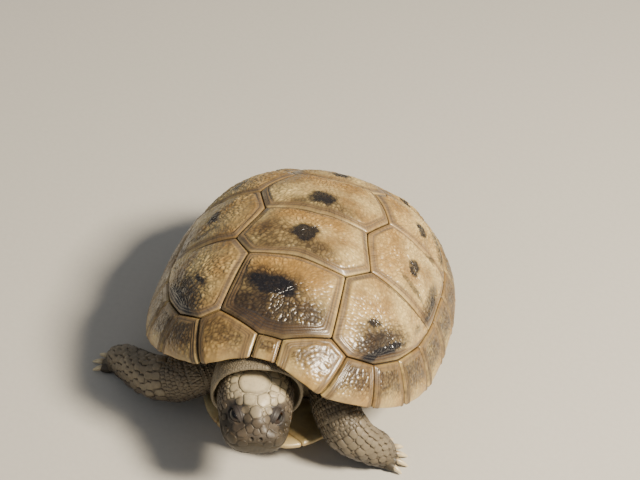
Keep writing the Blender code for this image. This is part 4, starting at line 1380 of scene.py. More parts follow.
def lidded(places):
    """Head points, with the skin near each eye laid over the eyeball and sunk under it between the lids, and
    where the lids and their margins lie; the margins get painted shade.
    """
    lids = np.zeros(len(places))
    margin = np.zeros(len(places))
    for side in (1, -1):
        heart, axis, slit, above = eye_frame(side)
        away = places - heart
        far = np.linalg.norm(away, axis=1)
        way = away / far[:, None]
        facing = way @ axis
        turned = np.arccos(np.clip(facing, -1, 1))
        x = EYE_RADIUS * np.arctan2(way @ slit, facing)
        y = EYE_RADIUS * np.arctan2(way @ above, facing)
        reach = np.where(y > 0, SLIT_ABOVE, SLIT_BELOW)
        open_at = ((x + SLIT_BACK) / SLIT_HALF_LENGTH) ** 2 + np.abs(y) / reach
        apart = (open_at - 1.0) * 0.45
        fold = LID_FOLD * np.cos(apart / LID_FOLD_PITCH * 2 * np.pi)
        fold = fold * ramp(apart, 0.12, 0.3) * ramp(-apart, -1.1, -0.7)
        edge = LID_EDGE * swell(apart, 0.12, 0.11)
        corner = swell(y, 0.0, 0.2) * ramp(-np.abs(x + SLIT_BACK), -3.1, -1.9)
        radius = EYE_RADIUS + LID_THICKNESS + fold + edge - LID_CORNER * corner
        radius = np.where(open_at < 1.0, EYE_RADIUS - LID_TUCK, radius)
        near = ramp(-turned, -math.radians(100), -math.radians(62)) * ramp(-far, -3.3, -2.3)
        places = places + way * ((radius - far) * near)[:, None]
        lids = np.maximum(lids, near * ramp(-turned, -math.radians(80), -math.radians(62)))
        # where painted shade goes: along the lids' margins and at the slit's corners
        margin = np.maximum(margin, near * np.maximum(swell(apart, 0.06, 0.2), corner))
    return places, lids, margin


def mesh_points(mesh, field="co"):
    """A mesh's points in mm about the shell's middle, or its normals, or a vector attribute."""
    numbers = np.empty(len(mesh.vertices) * 3, dtype=np.float32)
    if field == "co":
        mesh.vertices.foreach_get("co", numbers)
        return (numbers.reshape(-1, 3) - MIDDLE) / MM
    if field == "normal":
        mesh.vertex_normals.foreach_get("vector", numbers)
    else:
        mesh.attributes[field].data.foreach_get("vector", numbers)
    return numbers.reshape(-1, 3).astype(float)


origin = mesh_points(skin_mesh, "origin")
places = mesh_points(skin_mesh)
normals = mesh_points(skin_mesh, "normal")
part_of = np.round(origin[:, 0]).astype(int)
is_head = (part_of == HEAD_NUMBER) & (origin[:, 1] >= FIRST_HEAD_RING + 4)
is_collar = (part_of == HEAD_NUMBER) & ~is_head
is_leg = (part_of >= LEG_NUMBER) & (part_of < LEG_NUMBER + 4)

# Creases: deep and crossed on the legs, fine on hood and toes, ringed on the tail
crease = drift(places * (1.0, 1.0, 0.6), 1.5, 31) * 0.10 + drift(places, 0.55, 32) * 0.045
crinkle = np.abs(drift(places * (1.0, 1.0, 1.4), 0.8, 33))
depth = np.where(is_leg, 0.09 - crease * 1.5 + 0.13 * (1 - crinkle) ** 5, 0.0)
depth = np.where(is_collar, 0.03 - crease * 0.45, depth)
depth = np.where(part_of >= TOE_NUMBER, 0.04 - crease * 0.4, depth)
depth = np.where(part_of == TAIL_NUMBER, 0.06 + 0.06 * np.cos(origin[:, 1] * 2 * np.pi / 5), depth)
places -= normals * depth[:, None]

head_places = shaped_head(about_head(places[is_head]))
head_places -= (normals[is_head] @ HEAD_AXES.T) * (drift(head_places, 0.7, 34) * 0.03)[:, None]
head_places, head_lids, head_slit_shade = lidded(head_places)
places[is_head] = on_head(head_places)
places[:, 2] = np.maximum(places[:, 2], FLAT_LEFT)
skin_mesh.vertices.foreach_set("co", (places * MM + MIDDLE).astype(np.float32).ravel())
skin_mesh.update()
lids = np.zeros(len(places))
margin = np.zeros(len(places))
lids[is_head] = head_lids
margin[is_head] = head_slit_shade

# ------------------------ eyeballs
# Dark brown eyes, wet and bulging a little at the cornea, set deep under the lids. Each is its own ball.

PUPIL_RADIUS = 0.52
IRIS_RADIUS = 1.0
CORNEA_BULGE = 0.06
EYE_ROWS = 28
EYE_AROUND = 40

# Wet tissue: a clear, sharp gloss over a near black pupil, a streaked brown iris and a grey-brown white
EDGE_SOFT = 0.04
wet_eye = Finish("wet_eye", roughness=0.15, specular=0.4, coat=0.6, coat_roughness=0.04)
wet_eye.shader.inputs["IOR"].default_value = 1.38
from_pupil = wet_eye.value("from_pupil")
iris = wet_eye.mix(wet_eye.noise(wet_eye.vector("iris_ray"), 7.0, 3.0), "#140b07", "#301b0e")
white = wet_eye.span(from_pupil, IRIS_RADIUS - 2 * EDGE_SOFT, IRIS_RADIUS + 2 * EDGE_SOFT)
ball = wet_eye.mix(white, iris, "#2b211d")
pupil = wet_eye.span(from_pupil, PUPIL_RADIUS - EDGE_SOFT, PUPIL_RADIUS + EDGE_SOFT)
wet_eye.feed("Base Color", wet_eye.mix(pupil, "#080605", ball))


def eyeball(name, side):
    """A ball in rings round the way the eye looks, from the pupil back, a little fuller at the cornea."""
    heart, axis, slit, above = eye_frame(side)
    turned = np.linspace(0, np.pi, EYE_ROWS + 2)[1:-1]
    spin = np.arange(EYE_AROUND) / EYE_AROUND * 2 * np.pi
    ring = np.cos(spin)[:, None] * slit + np.sin(spin)[:, None] * above
    way = np.cos(turned)[:, None, None] * axis + np.sin(turned)[:, None, None] * ring
    far = EYE_RADIUS * turned
    radius = EYE_RADIUS + CORNEA_BULGE * ramp(-far, -1.15, -0.6)
    rings = heart + way * radius[:, None, None]
    points, faces = tube(rings)
    points[-2] = heart + axis * (EYE_RADIUS + CORNEA_BULGE)
    points[-1] = heart - axis * EYE_RADIUS
    if side > 0:
        faces = [face[::-1] for face in faces]
    rays = np.zeros((len(points), 3))
    rays[:-2, 0] = np.tile(np.cos(spin), EYE_ROWS)
    rays[:-2, 1] = np.tile(np.sin(spin), EYE_ROWS)
    distances = np.concatenate([np.repeat(far, EYE_AROUND), [0.0, EYE_RADIUS * np.pi]])
    values = {"from_pupil": distances, "iris_ray": rays}
    made = make_piece(name, on_head(points), faces, wet_eye, values)
    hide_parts(name)


eyeball("eye_left", 1)
eyeball("eye_right", -1)

# ------------------------ beak
# Two horny sheaths cover the toothless jaws, the upper hooked a little over the lower. They are keratin like
# the claws, dark olive, worn pale along the cutting edge.

faces_of_skin = [tuple(face.vertices) for face in skin_mesh.polygons]
skin_tree = BVHTree.FromPolygons([Vector(p) for p in places], faces_of_skin)
SHEATH_THICKNESS = 0.13
SHEATH_ROOT = 0.12  # how far its inner face lies inside the skin
JAW_HEART = 1.8  # the point along the head that the sheaths wrap round

# Horn worn by feeding: satin, streaked from the root to the edge, with a paler cutting edge
beak_keratin = Finish("beak_keratin", roughness=0.42, specular=0.5, coat=0.15, coat_roughness=0.25)
place = beak_keratin.place()
lie = beak_keratin.vector("lie")
edge = beak_keratin.value("edge")
cloud = beak_keratin.noise(place, 1 / (1.2 * MM), 4.0)
streak = beak_keratin.noise(lie, 4.0, 4.0, 0.7)
horny = beak_keratin.mix(cloud, "#231c0f", "#3d321c")
horny = beak_keratin.mix(beak_keratin.span(streak, 0.45, 0.7, 0.0, 0.7), horny, "#1c160c")
horny = beak_keratin.mix(beak_keratin.span(edge, 0.8, 1.0, 0.0, 0.5), horny, "#6f6040")
beak_keratin.feed("Base Color", horny)
beak_keratin.bump(0.5, 0.05 * MM, streak)


def sheath(name, reach, top, bottom, around=112, rows=22):
    """A sheath wrapped round the jaw between two heights, each a function of the turn from the tip. Lines
    drawn in from outside find the skin under it."""
    turned = np.radians(np.linspace(-reach, reach, around))
    share = np.linspace(0, 1, rows)[:, None]
    high = top(turned)[None] * (1 - share) + bottom(turned)[None] * share
    way = np.stack([np.cos(turned), 0.85 * np.sin(turned), np.zeros(around)], axis=1)
    start = np.stack([np.full_like(high, JAW_HEART), np.zeros_like(high), high], axis=-1)
    outside = on_head(start + 9.0 * way[None])
    inward = unit(-(way @ HEAD_AXES))
    found = np.array([
        [skin_tree.ray_cast(Vector(outside[i, j]), Vector(inward[j]))[0] for j in range(around)]
        for i in range(rows)
    ])
    out = -inward[None]
    ends = ramp(-np.abs(turned), -math.radians(reach), -math.radians(reach - 16))
    thick = SHEATH_THICKNESS * (0.15 + 0.85 * ramp(share, 0.0, 0.22)) * (0.2 + 0.8 * ends)[None]
    thick = thick * (1 - 0.3 * ramp(share, 0.93, 1.0))
    thick = thick + 0.012 * np.sin(turned * 37)[None] * ramp(share, 0.2, 0.5)
    outer = found + out * thick[..., None]
    inner = found - out * SHEATH_ROOT
    points = np.concatenate([outer.reshape(-1, 3), inner.reshape(-1, 3)])
    number = np.arange(rows * around).reshape(rows, around)
    corners = number[:-1, :-1], number[:-1, 1:], number[1:, 1:], number[1:, :-1]
    front = np.stack(corners, axis=-1).reshape(-1, 4)
    back = front[:, ::-1] + rows * around
    border = np.concatenate([number[0], number[1:, -1], number[-1, -2::-1], number[-2:0:-1, 0]])
    after = np.roll(border, -1)
    wall = np.stack([after, border, border + rows * around, after + rows * around], axis=1)
    faces = np.concatenate([front, back, wall]).tolist()
    faces = facing_out(points, faces, out[0, around // 2], len(front) // 2)
    lie = np.stack(np.broadcast_arrays(turned * 4, high * 0.15, 0.0), axis=-1).reshape(-1, 3)
    edge = np.broadcast_to(share, high.shape).ravel()
    values = {"lie": np.concatenate([lie, lie]), "edge": np.concatenate([edge, edge])}
    make_piece(name, points, faces, beak_keratin, values)


sheath(
    "beak_upper", 96,
    lambda turned: -0.4 + 1.3 * np.exp(-((turned / 0.6) ** 2)),
    lambda turned: mouth_line(4.0 * np.sin(turned)) - 0.1,
)
sheath(
    "beak_lower", 84,
    lambda turned: mouth_line(4.0 * np.sin(turned)) - 0.24,
    lambda turned: -2.3 - 0.15 * np.cos(turned),
    rows=14,
)

# ------------------------ claws
# Five claws on each forefoot and four on each hind foot: blunt, a little curved, of pale horn that darkens to
# the root. Each grows out of a toe's soft lobe.

# Thick translucent horn: cream with fine lengthwise streaks, brown at the root
claw_keratin = Finish("claw_keratin", 0.38, specular=0.5, coat=0.2, coat_roughness=0.2, subsurface=0.1)
lie = claw_keratin.vector("lie")
edge = claw_keratin.value("edge")
streak = claw_keratin.noise(lie, 3.0, 4.0, 0.6)
horny = claw_keratin.mix(claw_keratin.span(edge, 0.25, 0.62), "#6a5338", "#d8c9a4")
horny = claw_keratin.mix(claw_keratin.span(streak, 0.45, 0.72, 0.0, 0.55), horny, "#7b6547")
claw_keratin.feed("Base Color", horny)
claw_keratin.bump(0.35, 0.04 * MM, streak)

CLAW_ROWS = 16
CLAW_AROUND = 18
CLAW_ARCH = 0.55  # in claw sizes, like its half width
CLAW_HALF_WIDTH = 0.8
OUTER_CLAW = 0.86  # length of the first and last claw beside the others


def claw(root, tip, way, size):
    """A blunt cone that arches from root to tip, flatter beneath."""
    share = np.linspace(0, 1, CLAW_ROWS)
    middles = root + (tip - root) * share[:, None]
    middles[:, 2] += CLAW_ARCH * size * np.sin(share * np.pi) * (1 - 0.35 * share)
    run = unit(np.gradient(middles, axis=0))
    across = np.tile(np.cross(way, UPWARD), (CLAW_ROWS, 1))
    up = np.cross(across, run)
    wide = size * CLAW_HALF_WIDTH * (1 - share**1.7) ** 0.72 + 0.05
    rings = oval(middles, across, up, wide, wide * 1.05, wide * 0.8, CLAW_AROUND, 2.0)
    rings[..., 2] = np.maximum(rings[..., 2], LOWEST)
    return rings, share


def horn_tube(rings):
    """A closed tube, its faces looking out."""
    points, faces = tube(rings)
    return points, facing_out(points, faces, points[faces[0][0]] - rings[0].mean(axis=0))


def foot_claws(name, roots, size):
    """All claws of one foot, as one piece."""
    every = []
    faces = []
    edges = []
    lies = []
    turns = np.arange(CLAW_AROUND) / CLAW_AROUND * 2 * np.pi
    for number, (root, tip, way) in enumerate(roots):
        inner = 0 < number < len(roots) - 1
        end = root + (tip - root) * (1.0 if inner else OUTER_CLAW)
        rings, share = claw(root, end, way, size * (1.0 if inner else 0.94))
        points, loose = horn_tube(rings)
        shift = sum(len(e) for e in every)
        faces += [[n + shift for n in face] for face in loose]
        every.append(points)
        lie = np.broadcast_arrays(np.cos(turns) * 1.6, np.sin(turns) * 1.6, share[:, None] * 0.8 + number)
        lies.append(np.concatenate([np.stack(lie, axis=-1).reshape(-1, 3), np.zeros((2, 3))]))
        edges.append(np.concatenate([np.repeat(share, CLAW_AROUND), [0.0, 1.0]]))
    values = {"lie": np.concatenate(lies), "edge": np.concatenate(edges)}
    make_piece(name, np.concatenate(every), faces, claw_keratin, values)


for name, _, _, *plan in FEET:
    foot_claws(f"claws_{name}", fan(*plan), plan[-1])

# ------------------------ the skin's markings and finish
# Skin and scales share one set of markings: cream over the crown and on the raised scales of the forearms,
# slate in the folds, slate as painted shade about the eyes and in the hollow before each, and olive brown on
# the soles and on the lower face, where it is partly painted shade.

skin_edges = np.empty(len(skin_mesh.edges) * 2, dtype=np.int32)
skin_mesh.edges.foreach_get("vertices", skin_edges)
skin_edges = skin_edges.reshape(-1, 2)
places = mesh_points(skin_mesh)
fine = mesh_points(skin_mesh, "normal")
CALMING_PASSES = 14  # the skin's normals are smoothed this often before scales and markings use them
HOLLOW_PASSES = 3


def with_neighbours(field):
    """Each skin point's value, plus those of the points that share an edge with it."""
    total = field.copy()
    np.add.at(total, skin_edges[:, 0], field[skin_edges[:, 1]])
    np.add.at(total, skin_edges[:, 1], field[skin_edges[:, 0]])
    return total


calm = fine
for _ in range(CALMING_PASSES):
    calm = unit(with_neighbours(calm))


def markings(points, out, part, head, eyelid):
    """How cream, slate and olive each place is, from where it lies on the body."""
    along, across, up = about_head(points).T
    crown = ramp(up, 2.1, 3.6) * ramp(-along, -3.9, -1.3) * ramp(-eyelid, -0.5, -0.1)
    crown = crown * (0.86 + 0.14 * drift(points, 1.2, 41))
    # The lower face: olive brown, partly painted shade, darker toward the bottom of the head.
    face = ramp(-up, -2.1, -0.3) * ramp(along, -1.0, 2.0)
    limb = ramp(out @ np.array([0.0, -0.55, 0.83]), -0.05, 0.6)
    sole = ramp(-points[:, 2], -3.6, -0.8)
    is_limb = part >= LEG_NUMBER
    cream = np.where(head, crown, np.where(is_limb, 0.14 * limb * (1 - 0.7 * sole), 0.2))
    # slate on the eyelids is painted shade round the eye slit
    slate = np.where(head, np.maximum(eyelid * 0.85, 0.35 * (1 - crown) * (1 - face)), 0.2)
    # painted shade in the hollow of the orbit in front of each eye
    orbit_painted_shade = swell(along, 3.1, 1.0) * swell(np.abs(across), 1.75, 0.5) * swell(up, 1.9, 1.0)
    slate = np.where(head, np.maximum(slate, 0.9 * orbit_painted_shade), slate)
    slate = np.where(is_limb, 0.5 + 0.3 * (1 - limb), slate)
    olive = np.where(head, 0.95 * face, np.where(is_limb, 0.75 * sole, 0.12))
    return {"cream": cream, "slate": slate, "olive": olive}


def hide(name, roughness, plate):
    """Dry, leathery hide: grey-brown, with a fine net of creases and painted shade in its folds and round the
    eye slits; a scale is a little glossier, paler where it is raised and worn."""
    made = Finish(name, roughness, specular=0.4, coat=0.12, coat_roughness=0.35, subsurface=0.05)
    mix, span, value = made.mix, made.span, made.value
    place = made.place()
    cloud = made.noise(place, 1 / (1.6 * MM), 4.0)
    fleck = made.noise(place, 1 / (0.35 * MM), 4.0, 0.65)
    grid = {"Vector": place, "Scale": 1 / (0.22 * MM)}
    net = add(made.tree, "ShaderNodeTexVoronoi", grid, feature="DISTANCE_TO_EDGE").outputs[0]
    surface = mix(span(cloud, 0.35, 0.65), "#4c4336", "#655845")
    # slate grey, which about the eyes is painted shade
    surface = mix(span(value("slate"), 0.0, 1.0), surface, "#2b282b")
    # olive brown, which on the lower face is partly painted shade
    surface = mix(span(value("olive"), 0.0, 1.0, 0.0, 0.9), surface, "#211a0c")
    surface = mix(span(value("cream"), 0.0, 1.0), surface, "#cfc09e")
    surface = mix(span(fleck, 0.5, 0.75, 0.0, 0.35), surface, "#4c4336")
    if plate:
        surface = mix(span(value("tone"), 0.0, 1.0, 0.0, 0.22), surface, "#5a4d3a")
        surface = mix(span(value("edge"), 0.72, 1.0, 0.0, 0.55), surface, "#3e3529")
        surface = mix(span(value("tip"), 0.25, 0.95, 0.0, 0.6), surface, "#d9cdb2")
    else:
        surface = mix(span(net, 0.0, 0.12, 0.45, 0.0), surface, "#35302a")
        # painted shade in the hollows of the skin and round the eye slits
        surface = mix(span(value("hollow"), 0.0, 1.0, 0.0, 0.75), surface, "#241f1b")
    made.feed("Base Color", surface)
    made.feed("Roughness", span(fleck, 0.3, 0.7, roughness - 0.08, roughness + 0.1))
    made.bump(0.4 if plate else 0.6, 0.04 * MM, made.both("ADD", net, fleck))
    return made


leathery_skin = hide("leathery_skin", 0.58, plate=False)
scale_keratin = hide("scale_keratin", 0.46, plate=True)

# Hollows lie where the neighbours stand above a point's own tangent plane. The hide is darkened there as
# painted shade.
first, second = skin_edges.T
length = np.linalg.norm(places[second] - places[first], axis=1) + 1e-6
rise = ((places[second] - places[first]) * fine[first]).sum(axis=1)
fall = ((places[first] - places[second]) * fine[second]).sum(axis=1)
near = np.zeros(len(places))
np.add.at(near, first, rise / length)
np.add.at(near, second, fall / length)
counted = np.full(len(places), 1e-6)
np.add.at(counted, skin_edges.ravel(), 1.0)
hollow = np.clip(near / counted * 2.2, 0, 1)
neighbourhood = np.ones(len(places))
np.add.at(neighbourhood, skin_edges.ravel(), 1.0)
for _ in range(HOLLOW_PASSES):
    hollow = with_neighbours(hollow) / neighbourhood

skin_values = markings(places, calm, part_of, is_head, lids)
# Painted shade: darker in the hollows and along the lids' margins round each eye slit.
skin_values["hollow"] = np.clip(hollow * 1.6 + 0.9 * margin, 0, 1)
give(skin_mesh, skin_values)
skin_mesh.attributes.remove(skin_mesh.attributes["origin"])
skin_mesh.materials.clear()
skin_mesh.materials.append(leathery_skin.material)
skin_mesh.polygons.foreach_set("material_index", np.zeros(len(skin_mesh.polygons), dtype=np.int32))
skin_mesh.shade_smooth()
skin = linked("skin", skin_mesh)
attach(skin, "root")
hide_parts("trunk", "neck", "head", "lower_jaw", "tail")
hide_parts("foreleg_left", "foreleg_right", "hindleg_left", "hindleg_right")

# ------------------------ scales of the head and limbs
# Flat horny plates on the crown and cheeks, and overlapping scales down the limbs, broad and pale-tipped on
# the front of the forearm. Each is a thin solid plate rooted in the skin, meeting its neighbours at a crease.

PLATE_REACHES = 12  # corners of a small scale's outline
SCALE_GAP = 0.035
SCALE_ROOT = 0.1
PATCH = 0.003  # each scale's own patch on the bake map
NEAREST = 16  # neighbours that a plate's outline is measured against


def ring_table(number):
    """The skin's points of one part, found by ring and step round it."""
    count = part_rings[number].shape[1]
    chosen = np.flatnonzero(part_of == number)
    table = np.full((len(part_rings[number]), count), -1)
    step = np.round(origin[chosen, 2] * count).astype(int) % count
    ring = np.round(origin[chosen, 1]).astype(int)
    table[ring, step] = chosen
    return table


def lattice(number, size, first=0, last=None, seed=1):
    """Skin points in staggered rows, a scale's size apart, round one part."""
    rings = part_rings[number]
    table = ring_table(number)
    count = table.shape[1]
    round_it = np.linalg.norm(np.roll(rings, -1, axis=1) - rings, axis=-1).sum(axis=1)
    steps = np.linalg.norm(np.diff(rings.mean(axis=1), axis=0), axis=1)
    travelled = np.concatenate([[0.0], np.cumsum(steps)])
    last = len(rings) - 1 if last is None else last
    rows = np.arange(travelled[first] + size * 0.5, travelled[last], size * 0.86)
    found = []
    for row, place in enumerate(rows):
        ring = int(np.searchsorted(travelled, place))
        fit = max(6, int(round(round_it[ring] / size)))
        index = np.arange(fit)
        chance = scatter(np.stack([index, np.full(fit, row), np.full(fit, number)], axis=1), seed)
        turns = (index + 0.5 * (row % 2) + 0.28 * (chance[:, 0] - 0.5)) / fit
        shifted = np.searchsorted(travelled, place + 0.22 * size * (chance[:, 1] - 0.5))
        step = np.round(turns * count).astype(int) % count
        found.append(table[np.clip(shifted, first, last), step])
    found = np.unique(np.concatenate(found))
    return found[found >= 0]


def lie_of(number, chosen):
    """The way down the limb, or back along the head, at each chosen skin point."""
    rings = part_rings[number]
    run = unit(np.gradient(rings.mean(axis=1), axis=0))
    lie = run[np.clip(np.round(origin[chosen, 1]).astype(int), 0, len(run) - 1)]
    if number == HEAD_NUMBER:
        lie = np.tile(-HEAD_FORWARD, (len(chosen), 1))
    lie = lie - calm[chosen] * (lie * calm[chosen]).sum(axis=1)[:, None]
    return unit(lie)


def reaches(seeds, lies, sides, radii, count):
    """How far each plate reaches in each direction round it before it meets its neighbours."""
    apart = np.linalg.norm(seeds[:, None] - seeds[None], axis=-1)
    np.fill_diagonal(apart, 99.0)
    closest = np.argsort(apart - radii[None], axis=1)[:, :NEAREST]
    offset = seeds[closest] - seeds[:, None]
    x = (offset * lies[:, None]).sum(axis=-1)
    y = (offset * sides[:, None]).sum(axis=-1)
    angle = np.arange(count) / count * 2 * np.pi
    halfway = (x**2 + y**2 + radii[:, None] ** 2 - radii[closest] ** 2) / 2
    toward = x[..., None] * np.cos(angle) + y[..., None] * np.sin(angle)
    reach = np.where(toward > 0.02, halfway[..., None] / np.maximum(toward, 0.02), 9.0).min(axis=1)
    reach = np.clip(reach, 0.3 * radii[:, None], 1.3 * radii[:, None])
    soft = 0.25 * np.roll(reach, 1, axis=1) + 0.5 * reach + 0.25 * np.roll(reach, -1, axis=1)
    return np.minimum(reach, soft) - SCALE_GAP, angle


def map_roots(chosen):
    """Where skin points lie on the bake map: the turn round their part, and the share of its length."""
    whole = np.array([len(part_rings[int(n)]) for n in part_of[chosen]])
    return np.stack([origin[chosen, 2], origin[chosen, 1] / whole], axis=1)


def scales(
    name, chosen, lies, radii, high, overlap=0.0, lift=0.0, count=PLATE_REACHES, inner=(0.86, 0.5), kept=None,
    worn=0.0,
):
    """Joined plates over the chosen skin points. Overlap draws each plate's free end out over the next, and
    lift raises it."""
    seeds = places[chosen]
    out = calm[chosen]
    sides = np.cross(out, lies)
    reach, angle = reaches(seeds, lies, sides, radii, count)
    high = np.broadcast_to(high, len(seeds))
    overlap = np.broadcast_to(overlap, len(seeds))
    if kept is not None:
        fields = chosen, seeds, out, lies, sides, reach, high, overlap
        chosen, seeds, out, lies, sides, reach, high, overlap = (field[kept] for field in fields)
    reach = reach * (1 + overlap[:, None] * np.clip(np.cos(angle), 0, 1) ** 1.5)
    ways = lies[:, None] * np.cos(angle)[:, None] + sides[:, None] * np.sin(angle)[:, None]
    flat = seeds[:, None] + ways * reach[..., None]
    hits = np.array([skin_tree.find_nearest(Vector(p))[0] for p in flat.reshape(-1, 3)]).reshape(flat.shape)
    drop = ((flat - hits) * out[:, None]).sum(axis=-1)
    drop = np.clip(drop, -0.35 * reach, 0.6 * reach)
    share_of = [(1.0, -SCALE_ROOT), (1.0, 0.5), *[(s, 1.0 - 0.3 * s**4) for s in inner]]
    lifted = lift * overlap[:, None]
    rings = []
    for row, (share, rise) in enumerate(share_of):
        x = share * np.cos(angle)[None]
        free_end = np.clip(x, 0, 1) ** 2
        slope = 0.5 + 0.5 * x if lift else np.ones_like(x)
        height = high[:, None] * rise * (1 - 0.55 * (1 - slope) * (lift > 0)) + lifted * free_end
        if row == 0:
            height = -SCALE_ROOT + (lifted + 0.02) * free_end * (lift > 0) + 0 * x
        bend = drop * share**2
        spread_out = seeds[:, None] + ways * (reach * share)[..., None]
        rings.append(spread_out + out[:, None] * (height - bend)[..., None])
    crown = seeds + out * (high * (0.8 if lift else 1.02))[:, None]
    foot = seeds - out * SCALE_ROOT
    walls = np.stack(rings, axis=1).reshape(len(seeds), -1, 3)
    every = np.concatenate([walls, crown[:, None], foot[:, None]], axis=1)
    every[..., 2] = np.maximum(every[..., 2], LOWEST)
    each = every.shape[1]
    index, after = round_ring(count)
    top = (len(share_of) - 1) * count
    faces = tube_sides(0, len(share_of), count)
    faces += facets(top + index, top + after, each - 2)
    faces += facets(after, index, each - 1)
    all_faces = [[n + plate * each for n in face] for plate in range(len(seeds)) for face in faces]

    def repeat(numbers):
        return np.repeat(numbers, each)

    round_it = np.stack([np.cos(angle), np.sin(angle)], axis=1)
    spread = np.concatenate([*[share * round_it for share, _ in share_of], np.zeros((2, 2))])
    shares = np.concatenate([np.repeat([share for share, _ in share_of], count), [0.0, 1.0]])
    shares[:count] = 1.15
    marks = markings(seeds, out, part_of[chosen], is_head[chosen], lids[chosen])
    marks["cream"] = np.clip(marks["cream"] * (1 + worn), 0, 1)
    pale = overlap * 1.6 * np.clip(marks["cream"] * 2, 0, 1)
    values = {title: repeat(numbers) for title, numbers in marks.items()}
    values["tone"] = repeat(scatter(np.round(seeds * 50).astype(np.int64), 5)[:, 0])
    values["edge"] = np.tile(shares, len(seeds))
    values["tip"] = np.tile(spread[:, 0], len(seeds)) * repeat(pale)
    made = make_piece(name, every.reshape(-1, 3), all_faces, scale_keratin, values)
    on_map = (map_roots(chosen)[:, None] + spread[None] * PATCH / 2).reshape(-1, 2)
    corners = np.empty(len(made.data.loops), dtype=np.int32)
    made.data.loops.foreach_get("vertex_index", corners)
    uv = on_map[corners].astype(np.float32).ravel()
    made.data.uv_layers.new(name="OFBake").data.foreach_set("uv", uv)


# Large plates of the crown and muzzle: (along, across, up) from the head's middle, and radius
HEAD_PLATES = (
    (-1.75, -0.5, 4.1, 2.15), (-4.1, 0.9, 3.9, 0.85), (-4.1, -0.9, 3.9, 0.85),
    (-2.2, 2.45, 3.8, 0.72), (-1.05, 2.3, 3.85, 0.7), (0.0, 2.15, 3.85, 0.62), (-3.2, 2.3, 3.6, 0.7),
    (0.95, 2.3, 3.65, 0.56), (0.1, 3.15, 3.3, 0.6), (-0.95, 3.4, 3.3, 0.6), (-2.0, 3.5, 3.2, 0.62),
    (-2.4, -3.1, 3.5, 0.7), (-1.1, -3.15, 3.5, 0.7), (0.0, -2.65, 3.6, 0.62), (0.95, -2.45, 3.5, 0.55),
    (-3.3, -2.6, 3.5, 0.7),
    (0.95, -0.98, 3.95, 1.02), (0.95, 0.72, 3.95, 1.02), (2.75, -0.1, 3.4, 0.85), (4.0, 0.0, 2.9, 0.62),
    (2.2, -1.6, 3.3, 0.5), (2.2, 1.45, 3.3, 0.5), (3.3, 1.15, 2.8, 0.52), (3.3, -1.25, 2.8, 0.52),
    (4.85, 0.0, 2.15, 0.42), (4.5, 0.8, 2.15, 0.5), (4.5, -0.8, 2.15, 0.5),
    (4.0, 2.3, 1.6, 0.74), (4.0, -2.3, 1.6, 0.74), (4.75, 1.65, 1.25, 0.6), (4.75, -1.65, 1.25, 0.6),
    (4.6, 2.65, 0.45, 0.66), (4.6, -2.65, 0.45, 0.66), (5.2, 1.55, 0.45, 0.55), (5.2, -1.55, 0.45, 0.55),
)
head_plates = np.array(HEAD_PLATES)
head_points = np.flatnonzero(is_head)
head_at = about_head(places[head_points])
nearest = [int(np.argmin(np.linalg.norm(head_at - row[:3], axis=1))) for row in head_plates]
plate_seeds = head_points[nearest]
small_seeds = lattice(HEAD_NUMBER, 0.7, FIRST_HEAD_RING + 6, seed=3)
small_at = about_head(places[small_seeds])
# Small scales keep clear of large plates, lids, beak, the muzzle's tip, throat and eardrum.
free = lids[small_seeds] < 0.45
for seed_place, row in zip(about_head(places[plate_seeds]), head_plates):
    free &= np.linalg.norm(small_at - seed_place, axis=1) > row[3] + 0.24
free &= (small_at[:, 0] < 1.2) | (small_at[:, 2] > -0.25) | (small_at[:, 2] < -2.6)
free &= small_at[:, 0] < 4.4
free &= small_at[:, 2] > -2.9
free &= np.hypot(small_at[:, 0] - EARDRUM[0], small_at[:, 2] - EARDRUM[1]) > 1.15
small_seeds = small_seeds[free]
head_seeds = np.concatenate([plate_seeds, small_seeds])
head_radii = np.concatenate([head_plates[:, 3], np.full(len(small_seeds), 0.36)])
head_lies = lie_of(HEAD_NUMBER, head_seeds)
is_large = np.arange(len(head_seeds)) < len(plate_seeds)
scales(
    "head_plates", head_seeds, head_lies, head_radii, 0.11,
    count=36, inner=(0.95, 0.85, 0.7, 0.52, 0.34, 0.17), kept=is_large,
)
scales("scales_head", head_seeds, head_lies, head_radii, 0.13, kept=~is_large)

FOOT_START = 0.30  # share of a limb's length where bare skin gives way to scales
REAR_WAY = unit(np.array([0.0, 0.8, 0.45]))


def limb_scales(name, number, big, small, facing, begin):
    """Scales down one limb: broad ones on the side that meets the ground and thorns, small ones elsewhere."""
    count = len(part_rings[number])
    large = lattice(number, big, int(count * begin), count - 6, seed=number)
    little = lattice(number, small, int(count * FOOT_START * 0.7), count - 3, seed=number + 20)
    travelled = origin[large, 1] / count
    front = calm[large] @ facing + 0.5 * ramp(travelled, 0.75, 1.0)
    large = large[(front > 0.28) & (places[large, 2] > 0.8)]
    apart = np.linalg.norm(places[little][:, None] - places[large][None], axis=-1).min(axis=1)
    little = little[(apart > big * 0.62) & (places[little, 2] > 0.35)]
    chosen = np.concatenate([large, little])
    is_big = np.arange(len(chosen)) < len(large)
    radii = np.where(is_big, big * 0.56, small * 0.54)
    lies = lie_of(number, chosen)
    raised = np.where(is_big, 0.30, 0.15)
    over = np.where(is_big, 0.42, 0.16)
    plan = chosen, lies, radii, raised, over
    scales(
        f"scales_{name}_large", *plan, lift=0.16, count=16, inner=(0.9, 0.74, 0.45), kept=is_big, worn=0.6
    )
    scales(f"scales_{name}_small", *plan, lift=0.10, count=10, inner=(0.8, 0.45), kept=~is_big)


